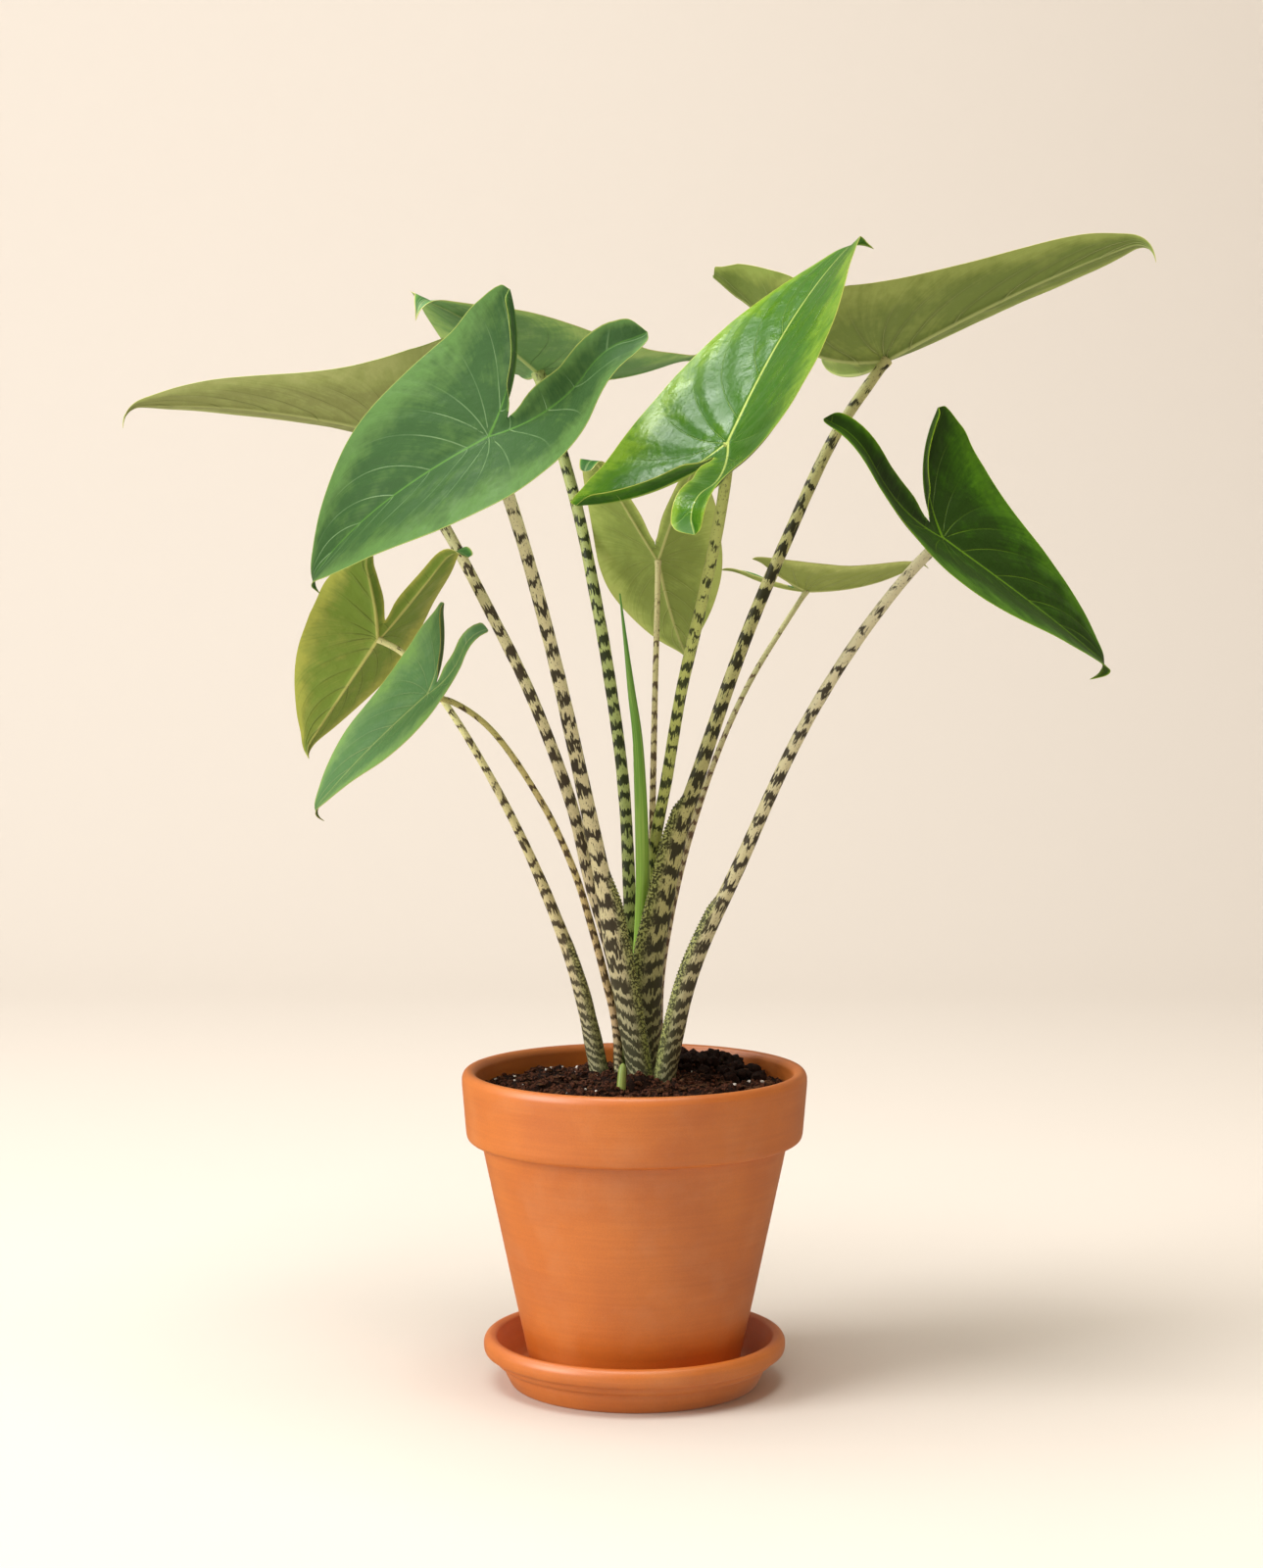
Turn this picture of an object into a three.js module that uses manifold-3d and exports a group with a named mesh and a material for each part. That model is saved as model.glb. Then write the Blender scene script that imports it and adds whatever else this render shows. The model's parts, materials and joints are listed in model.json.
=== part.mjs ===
// Alocasia zebrina, a zebra-stemmed elephant ear, in a clay pot on its saucer.
// Ten leaves, each an arrow-shaped blade on a long banded stem, rise from one crown in the soil,
// with a rolled new leaf among the stems and a small shoot in front of them.
// Units are millimetres, +Z is up, the plant's front is towards -Y, and the saucer stands on z = 0.
import * as THREE from 'three';
import Module from 'manifold-3d';
import { mergeVertices } from 'three/addons/utils/BufferGeometryUtils.js';

const wasm = await Module();
wasm.setup();

const GAP = 0.3; // clearance between pieces that rest on or in each other

// Clay pot, thrown with a deep rim band, and its saucer.
const POT_FOOT_Z = 8.3; // stands on the saucer's floor
const POT_TOP_Z = 192.5;
const RIM_R = 105;
const RIM_INSIDE_R = 96.5;
const RIM_BAND_H = 42.5;
const BODY_TOP_R = 93.3;
const BODY_FOOT_R = 63.5;
const WALL = 8.5;
const POT_FLOOR = 10;
const BAND_Z = POT_TOP_Z - RIM_BAND_H; // underside of the rim band
const WIDENED_Z = BAND_Z + RIM_BAND_H / 2; // the inside widens to the rim from BAND_Z to here
const DRAIN_R = 11;
const SAUCER_R = 92.2;
const SAUCER_H = 30;
const SAUCER_INSIDE_R = 83.6;
const SAUCER_FLOOR = 8;
const SAUCER_FOOT_R = 75;
const ROUND_SIDES = 48;

// Potting soil, with a plain hole for the crown and a small one for the shoot.
const SOIL_EDGE_Z = 179;
const SOIL_CROWN_Z = 186.5; // the soil is heaped a little round the stems
const SOIL_LUMP = 3.4;
const SOIL_MOUND = { x: 50, y: 52, h: 6 };
const CROWN_CENTRE = { x: 0, y: 16 };
const CROWN_R = 33;
const CROWN_TOP_Z = 178;
const CROWN_DEPTH = 52;
const SHOOT = { x: -8, y: -23.5, r: 3, footZ: 166, topZ: 199 };

// Leaf tissue.
const BLADE_THICKNESS = 0.8;
const RIB_DEPTH = 2.4; // how far the midrib stands out below the blade where it meets the stem
const STEM_SIDES = 10;
const STEM_RINGS = 22;
const NO_SHEATH = { sheath: 1, sheathStep: 12, sheathBulge: 0, sheathSwell: 0, sheathSide: [1, 0] };

const COLOUR = {
  clay: '#c9703f', soil: '#2c201b', corm: '#6d5a3c',
  stem: '#c9bf8d', youngStem: '#b9c27a', thinStem: '#bfa486',
  dark: '#3f7a3b', mid: '#4c8a43', young: '#6fae3c', back: '#7f8f4e', roll: '#6aa83a',
};

function material(name, roughness) {
  return new THREE.MeshStandardMaterial({ color: COLOUR[name], roughness, metalness: 0 });
}

// ---------- helpers for closed meshes ----------

function meshFrom(points, triangles) {
  const geometry = new THREE.BufferGeometry();
  const numbers = points.flatMap((p) => p.toArray());
  geometry.setAttribute('position', new THREE.Float32BufferAttribute(numbers, 3));
  geometry.setIndex(triangles.flat());
  geometry.computeVertexNormals();
  return geometry;
}

function solid(geometry) {
  const bare = geometry.clone();
  bare.deleteAttribute('normal');
  bare.deleteAttribute('uv');
  const merged = mergeVertices(bare, 1e-3);
  return new wasm.Manifold(new wasm.Mesh({
    numProp: 3,
    vertProperties: merged.attributes.position.array,
    triVerts: Uint32Array.from(merged.index.array),
  }));
}

function geometryOf(manifold) {
  const mesh = manifold.getMesh();
  const geometry = new THREE.BufferGeometry();
  geometry.setAttribute('position', new THREE.BufferAttribute(mesh.vertProperties, 3));
  geometry.setIndex(new THREE.BufferAttribute(mesh.triVerts, 1));
  geometry.computeVertexNormals();
  return geometry;
}

// A turned piece from [radius, height] pairs; LatheGeometry turns about Y, so it is stood up on Z.
function turned(profile, sides = ROUND_SIDES) {
  const points = profile.map(([r, z]) => new THREE.Vector2(r, z));
  return new THREE.LatheGeometry(points, sides).rotateX(Math.PI / 2);
}

function cylinder(x, y, r, z0, z1, sides = 32) {
  const upright = new THREE.CylinderGeometry(r, r, z1 - z0, sides).rotateX(Math.PI / 2);
  return upright.translate(x, y, (z0 + z1) / 2);
}

// Smooth value through [at, value] knots, by Hermite pieces.
function through(knots, at) {
  const last = knots.length - 1;
  let k = 0;
  while (k < last - 1 && at > knots[k + 1][0]) k += 1;
  const slope = (i) => {
    const a = knots[Math.max(i - 1, 0)];
    const b = knots[Math.min(i + 1, last)];
    return (b[1] - a[1]) / (b[0] - a[0]);
  };
  const step = knots[k + 1][0] - knots[k][0];
  const t = (at - knots[k][0]) / step;
  const h01 = t * t * (3 - 2 * t);
  return knots[k][1] * (1 - h01) + knots[k + 1][1] * h01
    + step * t * (1 - t) * ((1 - t) * slope(k) - t * slope(k + 1));
}

const smoothstep = (t) => THREE.MathUtils.smoothstep(t, 0, 1);
const rad = THREE.MathUtils.degToRad;

// ---------- saucer, pot, soil, corm ----------

// A shallow dish: foot, flared wall, and a rolled bead round its edge.
function saucer() {
  const beadZ = SAUCER_H - 5.5; // middle of the bead
  return turned([
    [0, 0], [SAUCER_FOOT_R, 0], [SAUCER_FOOT_R + 1.2, 1.5], [SAUCER_FOOT_R + 4.5, 8],
    [SAUCER_FOOT_R + 5.2, 13], [SAUCER_R - 7, 13.8], [SAUCER_R - 6.4, 18], [SAUCER_R - 1, 19.2],
    [SAUCER_R, beadZ - 2.5], [SAUCER_R, beadZ + 1.5], [SAUCER_R - 1.4, SAUCER_H - 1.3],
    [SAUCER_R - 3.8, SAUCER_H], [SAUCER_INSIDE_R + 1.2, SAUCER_H - 1], [SAUCER_INSIDE_R, SAUCER_H - 3.5],
    [SAUCER_FOOT_R + 0.5, SAUCER_FLOOR + 4], [SAUCER_FOOT_R - 3, SAUCER_FLOOR], [0, SAUCER_FLOOR],
  ]);
}

// Outside radius of the pot's body below its band.
function bodyR(z) {
  const rise = (z - POT_FOOT_Z) / (BAND_Z - POT_FOOT_Z);
  return BODY_FOOT_R + (BODY_TOP_R - BODY_FOOT_R) * rise;
}

function insideR(z) {
  if (z <= BAND_Z) return bodyR(z) - WALL;
  const widened = Math.min((z - BAND_Z) / (WIDENED_Z - BAND_Z), 1);
  return THREE.MathUtils.lerp(bodyR(BAND_Z) - WALL, RIM_INSIDE_R, widened);
}

function pot() {
  const floorZ = POT_FOOT_Z + POT_FLOOR;
  return turned([
    [DRAIN_R, POT_FOOT_Z], [BODY_FOOT_R - 1.5, POT_FOOT_Z], [BODY_FOOT_R, POT_FOOT_Z + 1.5],
    [bodyR(60), 60], [bodyR(BAND_Z), BAND_Z - 0.5], [BODY_TOP_R + 1, BAND_Z + 0.2],
    [RIM_R - 6, BAND_Z - 0.5], [RIM_R - 3.4, BAND_Z + 1.2], [RIM_R - 2.6, BAND_Z + 4],
    [RIM_R, POT_TOP_Z - 8], [RIM_R, POT_TOP_Z - 4], [RIM_R - 1.2, POT_TOP_Z - 1.3],
    [RIM_R - 3.2, POT_TOP_Z], [RIM_INSIDE_R + 2, POT_TOP_Z - 0.4], [RIM_INSIDE_R, POT_TOP_Z - 3],
    [RIM_INSIDE_R, WIDENED_Z], [insideR(BAND_Z), BAND_Z],
    [insideR(floorZ), floorZ], [DRAIN_R, floorZ], [DRAIN_R, POT_FOOT_Z],
  ]);
}

// Height of the soil: heaped round the crown, sinking to the wall, with clods in between.
function soilZ(x, y) {
  const fromCrown = Math.hypot(x - CROWN_CENTRE.x, y - CROWN_CENTRE.y);
  const heap = 1 - smoothstep((fromCrown - 20) / 65);
  const clods = Math.sin(x * 0.11 + 1.3) * Math.cos(y * 0.13 + 0.4) + 0.6 * Math.sin(x * 0.21 - y * 0.17);
  const mound = Math.exp(-((x - SOIL_MOUND.x) ** 2) / 1500 - (y - SOIL_MOUND.y) ** 2 / 500);
  const fade = smoothstep((90 - Math.hypot(x, y)) / 8); // level along the wall
  return SOIL_EDGE_Z + (SOIL_CROWN_Z - SOIL_EDGE_Z) * heap
    + (SOIL_LUMP * 0.5 * clods + SOIL_MOUND.h * mound) * fade;
}

function soil() {
  const floorZ = POT_FOOT_Z + POT_FLOOR + GAP;
  const edgeR = RIM_INSIDE_R - GAP - 0.2;
  const rings = [edgeR, 86, 74, 61, 48, 35, 20];
  const sides = ROUND_SIDES;
  const ring = (r, height) => Array.from({ length: sides }, (_, i) => {
    const a = (i / sides) * Math.PI * 2;
    const x = r * Math.cos(a);
    const y = r * Math.sin(a);
    return new THREE.Vector3(x, y, height ?? soilZ(x, y));
  });
  const clear = GAP + 0.3; // where the pot's wall bends, the soil keeps a little more off it
  const rows = [
    ring(insideR(floorZ) - clear, floorZ), ring(insideR(BAND_Z) - clear, BAND_Z),
    ring(edgeR - 0.3, WIDENED_Z + 1), ...rings.map((r) => ring(r)),
  ];
  const points = rows.flat();
  const bottom = points.push(new THREE.Vector3(0, 0, floorZ)) - 1;
  const top = points.push(new THREE.Vector3(0, 0, soilZ(0, 0))) - 1;
  const triangles = [];
  for (let i = 0; i < sides; i += 1) {
    const j = (i + 1) % sides;
    triangles.push([bottom, j, i]);
    for (let k = 0; k < rows.length - 1; k += 1) {
      const [a, b] = [k * sides, (k + 1) * sides];
      triangles.push([a + i, a + j, b + j], [a + i, b + j, b + i]);
    }
    const inner = (rows.length - 1) * sides;
    triangles.push([inner + i, inner + j, top]);
  }
  const heap = solid(meshFrom(points, triangles));
  const crownHole = cylinder(CROWN_CENTRE.x, CROWN_CENTRE.y, CROWN_R + GAP + 0.1,
    CROWN_TOP_Z - CROWN_DEPTH - GAP, POT_TOP_Z + 10, 40);
  const shootHole = cylinder(SHOOT.x, SHOOT.y, SHOOT.r + 1, SHOOT.footZ - GAP, POT_TOP_Z + 10, 16);
  return geometryOf(heap.subtract(solid(crownHole)).subtract(solid(shootHole)));
}

function corm() {
  const r = CROWN_R;
  const z0 = CROWN_TOP_Z - CROWN_DEPTH;
  return turned([
    [0, z0], [r * 0.55, z0 + 2], [r * 0.86, z0 + 12], [r - 0.6, z0 + 26],
    [r - 0.3, CROWN_TOP_Z - 4], [r - 1.5, CROWN_TOP_Z], [0, CROWN_TOP_Z],
  ], 32).translate(CROWN_CENTRE.x, CROWN_CENTRE.y, 0);
}

// ---------- blades ----------

// Half outlines as [along, across]: along in blade lengths from the stem (tip 1, lobe tips
// -LOBE_SHARE), across in half widths.
const LOBE_SHARE = 0.65;
const OUTER_MARGIN = [
  [-0.65, 0.8], [-0.64, 0.87], [-0.61, 0.905], [-0.56, 0.94], [-0.46, 0.985], [-0.29, 1.03],
  [-0.12, 1.02], [0.06, 0.99], [0.28, 0.88], [0.53, 0.66], [0.745, 0.38], [0.885, 0.13], [0.955, 0.03],
  [1, 0],
];
// The same for the lobe's inner margin, along in lobe lengths back from the stem.
const SINUS = 0.17;
const INNER_MARGIN = [
  [SINUS, 0], [0.23, 0.05], [0.42, 0.16], [0.68, 0.39], [0.88, 0.57], [0.955, 0.64], [0.985, 0.7],
  [1, 0.8],
];
const FRONT_ROWS = [1, 0.985, 0.965, 0.94, 0.91, 0.87, 0.81, 0.73, 0.63, 0.52, 0.4, 0.27, 0.13, 0];
const LOBE_ROWS = [0.085, SINUS, 0.32, 0.48, 0.64, 0.78, 0.9, 0.97, 1];
const ACROSS = [0, 0.06, 0.5, 1]; // columns from rib to outer margin
const SPINE_STEPS = 240;
const HOOK_FROM = 0.86; // the tip hooks down from here on
const CURL_FROM = 0.78; // and the lobes' ends curl from here back
const RIB_AT = 0.8; // half widths from the middle to the basal rib, at the lobe's tip

// The blade's centre line and the directions across it and out of its upper face, for each y.
function spine(leaf) {
  const back = leaf.lobes * 1.25;
  const rows = [];
  for (let i = 0; i <= SPINE_STEPS; i += 1) {
    const y = -back + (i / SPINE_STEPS) * (leaf.length + back);
    const ahead = THREE.MathUtils.clamp(y / leaf.length, 0, 1);
    const behind = THREE.MathUtils.clamp(-y / leaf.lobes, 0, 1.2);
    const curlAt = Math.min(Math.max((behind - CURL_FROM) / (1 - CURL_FROM), 0), 1.2) ** 2;
    const hookAt = smoothstep((ahead - HOOK_FROM) / (1 - HOOK_FROM));
    const dip = rad(-leaf.arch * ahead ** 1.3 - leaf.hook * hookAt - leaf.lift * behind ** 1.2
      + leaf.curl * curlAt);
    const swing = rad(leaf.sway * (y / leaf.length));
    const turn = rad(leaf.twist * (y / leaf.length));
    const level = Math.cos(dip);
    const along = new THREE.Vector3(Math.sin(swing) * level, Math.cos(swing) * level, Math.sin(dip));
    const flat = new THREE.Vector3(Math.cos(swing), -Math.sin(swing), 0);
    const up = new THREE.Vector3().crossVectors(flat, along);
    const across = flat.clone().multiplyScalar(Math.cos(turn)).addScaledVector(up, Math.sin(turn));
    const out = up.clone().multiplyScalar(Math.cos(turn)).addScaledVector(flat, -Math.sin(turn));
    rows.push({ y, along, across, out, centre: new THREE.Vector3() });
  }
  const step = (leaf.length + back) / SPINE_STEPS;
  for (let i = 1; i < rows.length; i += 1) {
    const mean = rows[i].along.clone().add(rows[i - 1].along).multiplyScalar(step / 2);
    rows[i].centre.copy(rows[i - 1].centre).add(mean);
  }
  const at = (y) => {
    const k = THREE.MathUtils.clamp((y + back) / step, 0, SPINE_STEPS - 1e-6);
    const i = Math.floor(k);
    const mix = (name) => rows[i][name].clone().lerp(rows[i + 1][name], k - i);
    return { centre: mix('centre'), across: mix('across'), out: mix('out') };
  };
  const origin = at(0).centre;
  return (y) => {
    const row = at(y);
    row.centre.sub(origin);
    return row;
  };
}

// Maps a flat point of the blade (side +1 or -1, x across, y along, and how far it lies inside the
// basal rib) onto the bent blade in the row's frame.
function bladeMap(leaf) {
  const spineAt = spine(leaf);
  const [h, p, r] = [leaf.heading, leaf.pitch, leaf.roll].map(rad);
  const tipward = new THREE.Vector3(Math.cos(h) * Math.cos(p), Math.sin(h) * Math.cos(p), Math.sin(p));
  const level = new THREE.Vector3(Math.sin(h), -Math.cos(h), 0);
  const up = new THREE.Vector3().crossVectors(level, tipward);
  const sideways = level.clone().multiplyScalar(Math.cos(r)).addScaledVector(up, Math.sin(r));
  const upper = up.clone().multiplyScalar(Math.cos(r)).addScaledVector(level, -Math.sin(r));
  const turn = new THREE.Matrix4().makeBasis(sideways, tipward, upper);
  const place = (side, x, y, inside = 0) => {
    const half = leaf.width / 2;
    const row = spineAt(y);
    const steep = rad(leaf.fold + leaf.cup * (x / half / 2));
    const [sinWave, cosWave] = side > 0 ? leaf.waveRight : leaf.waveLeft;
    const phase = (2 * Math.PI * y) / leaf.length;
    const wave = (x / half) ** 2 * (sinWave * Math.sin(phase) + cosWave * Math.cos(phase));
    const rise = x * Math.sin(steep) + wave + inside * Math.tan(rad(leaf.innerFold));
    return row.centre.addScaledVector(row.across, side * x * Math.cos(steep)).addScaledVector(row.out, rise)
      .applyMatrix4(turn).add(new THREE.Vector3(...leaf.at));
  };
  return { place, upper };
}

// One half's rows of flat points [x, y, inside]: from the tip back to the stem, then down the lobe,
// whose outer points run from the basal rib outwards and whose inner ones lie towards the notch.
function bladeRows(leaf, side) {
  const half = leaf.width / 2;
  const lobes = leaf.lobes * (1 + leaf.uneven * side);
  const front = FRONT_ROWS.map((f) => {
    const edge = through(OUTER_MARGIN, f) * half * (1 - leaf.slim * Math.sin(Math.PI * f));
    return { outer: ACROSS.map((u) => [u * edge, f * leaf.length, 0]) };
  });
  const rear = LOBE_ROWS.map((t) => {
    const shift = leaf.spread * half * t;
    const rib = RIB_AT * t * half + shift;
    const edge = through(OUTER_MARGIN, -t * LOBE_SHARE) * half + shift;
    const inner = t <= SINUS ? 0 : through(INNER_MARGIN, t) * half + shift;
    const firm = Math.min(3 * t, 1); // the rib's fold fades out at the stem
    const y = -t * lobes;
    return {
      outer: ACROSS.map((u) => [rib + u * (edge - rib), y, 0]),
      inner: [(rib + inner) / 2, inner].map((x) => [x, y, (rib - x) * firm]),
      t,
    };
  });
  return { front, rear };
}

// Big leaves have deeper ribs.
const ribHeight = (leaf) => RIB_DEPTH * (leaf.length / 160);

function blade(leaf) {
  const { place } = bladeMap(leaf);
  const points = [];
  const thickness = [];
  const add = (point, thick) => {
    thickness.push(thick);
    return points.push(point) - 1;
  };
  const ribDepth = (t) => BLADE_THICKNESS + ribHeight(leaf) * (1 - t) ** 0.8;
  const midrib = FRONT_ROWS.map((f) => add(place(1, 0, f * leaf.length), ribDepth(f)));
  const between = LOBE_ROWS.filter((t) => t <= SINUS).map((t) => {
    const shift = (RIB_AT + leaf.spread) * (leaf.width / 2) * t;
    return add(place(1, 0, -t * leaf.lobes, shift * Math.min(3 * t, 1)), BLADE_THICKNESS);
  });
  const triangles = [];
  const face = (a, b, c, side) => {
    if (a === b || b === c || a === c) return;
    triangles.push(side > 0 ? [a, b, c] : [a, c, b]);
  };
  for (const side of [1, -1]) {
    const { front, rear } = bladeRows(leaf, side);
    const put = ([x, y, inside], thick) => add(place(side, x, y, inside), thick);
    const grid = front.map((row, k) => {
      if (k === 0) return row.outer.map(() => midrib[0]);
      const columns = row.outer.map((flat, i) => (i === 0 ? midrib[k] : put(flat, BLADE_THICKNESS)));
      return k === front.length - 1 ? [midrib[k], midrib[k], ...columns] : [null, null, ...columns];
    });
    grid[0] = [null, null, ...grid[0]];
    rear.forEach((row, k) => {
      if (row.t === 1) {
        const lobeTip = put(row.outer[0], BLADE_THICKNESS);
        grid.push([lobeTip, lobeTip, ...row.outer.map(() => lobeTip)]);
        return;
      }
      const rib = put(row.outer[0], ribDepth(Math.min(row.t + 0.15, 1)));
      const middle = put(row.inner[0], BLADE_THICKNESS);
      const inner = row.t <= SINUS ? between[k] : put(row.inner[1], BLADE_THICKNESS);
      grid.push([inner, middle, rib, ...row.outer.slice(1).map((flat) => put(flat, BLADE_THICKNESS))]);
    });
    for (let k = 0; k < grid.length - 1; k += 1) {
      for (let i = 0; i < grid[k].length - 1; i += 1) {
        const [a, b, c, d] = [grid[k][i], grid[k][i + 1], grid[k + 1][i + 1], grid[k + 1][i]];
        if (a === null || b === null) continue;
        face(a, d, c, side);
        face(a, c, b, side);
      }
    }
  }
  return sheet(points, triangles, thickness);
}

// A sheet given by its upper face becomes a closed body: the same triangles again below it, and a
// wall along every edge that only one triangle has.
function sheet(points, triangles, thickness) {
  const normals = points.map(() => new THREE.Vector3());
  for (const [a, b, c] of triangles) {
    const area = points[b].clone().sub(points[a]).cross(points[c].clone().sub(points[a]));
    for (const i of [a, b, c]) normals[i].add(area);
  }
  const below = points.map((p, i) => p.clone().addScaledVector(normals[i].normalize(), -thickness[i]));
  const n = points.length;
  const edges = new Set(triangles.flatMap(([a, b, c]) => [`${a},${b}`, `${b},${c}`, `${c},${a}`]));
  const closed = triangles.flatMap(([a, b, c]) => [[a, b, c], [n + a, n + c, n + b]]);
  for (const edge of edges) {
    const [a, b] = edge.split(',').map(Number);
    if (!edges.has(`${b},${a}`)) closed.push([b, a, n + a], [b, n + a, n + b]);
  }
  return meshFrom([...points, ...below], closed);
}

// ---------- stems ----------

// A stem along a curve from its foot on the corm to the underside of its blade. The sheath is a
// rounded ridge on one side of the lower part, which ends in a step.
function stem(leafStem, cutPoint, cutNormal) {
  const spec = { ...NO_SHEATH, ...leafStem };
  const path = [[...spec.foot, CROWN_TOP_Z + GAP], ...spec.via].map((p) => new THREE.Vector3(...p));
  path.push(cutPoint.clone());
  const curve = new THREE.CatmullRomCurve3(path, false, 'centripetal');
  const sheathTo = new THREE.Vector3(...spec.sheathSide, 0).normalize();
  const length = curve.getLength();
  const points = [];
  for (let k = 0; k <= STEM_RINGS; k += 1) {
    const u = k / STEM_RINGS;
    const centre = curve.getPointAt(u);
    const along = curve.getTangentAt(u);
    if (k === 0) along.set(0, 0, 1);
    const front = sheathTo.clone().addScaledVector(along, -sheathTo.dot(along)).normalize();
    const left = new THREE.Vector3().crossVectors(along, front);
    const r = spec.r[1] + (spec.r[0] - spec.r[1]) * (1 - u) ** 2;
    const below = Math.max(spec.sheath - u * length, 0);
    const down = below / spec.sheath;
    const ridge = spec.sheathBulge * smoothstep(below / spec.sheathStep)
      * (1 + spec.sheathSwell * down) * Math.sqrt(1 - down ** 2);
    for (let i = 0; i < STEM_SIDES; i += 1) {
      const a = (i / STEM_SIDES) * Math.PI * 2;
      const swell = 1 + ridge * Math.max(0, Math.cos(a)) ** 2;
      const p = centre.clone().addScaledVector(front, Math.cos(a) * r * swell)
        .addScaledVector(left, Math.sin(a) * r * Math.min(swell, 1.15));
      if (k === STEM_RINGS) {
        const fall = p.clone().sub(cutPoint).dot(cutNormal) / along.dot(cutNormal);
        p.addScaledVector(along, -fall);
      }
      points.push(p);
    }
  }
  const foot = points.push(curve.getPoint(0)) - 1;
  const head = points.push(cutPoint.clone()) - 1;
  const triangles = [];
  for (let i = 0; i < STEM_SIDES; i += 1) {
    const j = (i + 1) % STEM_SIDES;
    triangles.push([foot, j, i], [head, STEM_RINGS * STEM_SIDES + i, STEM_RINGS * STEM_SIDES + j]);
    for (let k = 0; k < STEM_RINGS; k += 1) {
      const [a, b] = [k * STEM_SIDES, (k + 1) * STEM_SIDES];
      triangles.push([a + i, a + j, b + j], [a + i, b + j, b + i]);
    }
  }
  return meshFrom(points, triangles);
}

// A pointed round shoot along a curve: radii as [share of the height, radius].
function spear(path, radii, sides, rings) {
  const curve = new THREE.CatmullRomCurve3(path.map((p) => new THREE.Vector3(...p)), false, 'centripetal');
  const points = [];
  for (let k = 0; k < rings; k += 1) {
    const u = k / rings;
    const centre = curve.getPointAt(u);
    for (let i = 0; i < sides; i += 1) {
      const a = (i / sides) * Math.PI * 2;
      const r = through(radii, u);
      points.push(centre.clone().add(new THREE.Vector3(Math.cos(a) * r, Math.sin(a) * r, 0)));
    }
  }
  const foot = points.push(curve.getPoint(0)) - 1;
  const tip = points.push(curve.getPoint(1)) - 1;
  const triangles = [];
  for (let i = 0; i < sides; i += 1) {
    const j = (i + 1) % sides;
    triangles.push([foot, j, i], [(rings - 1) * sides + i, (rings - 1) * sides + j, tip]);
    for (let k = 0; k < rings - 1; k += 1) {
      const [a, b] = [k * sides, (k + 1) * sides];
      triangles.push([a + i, a + j, b + j], [a + i, b + j, b + i]);
    }
  }
  return meshFrom(points, triangles);
}

// ---------- the leaves ----------

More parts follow.
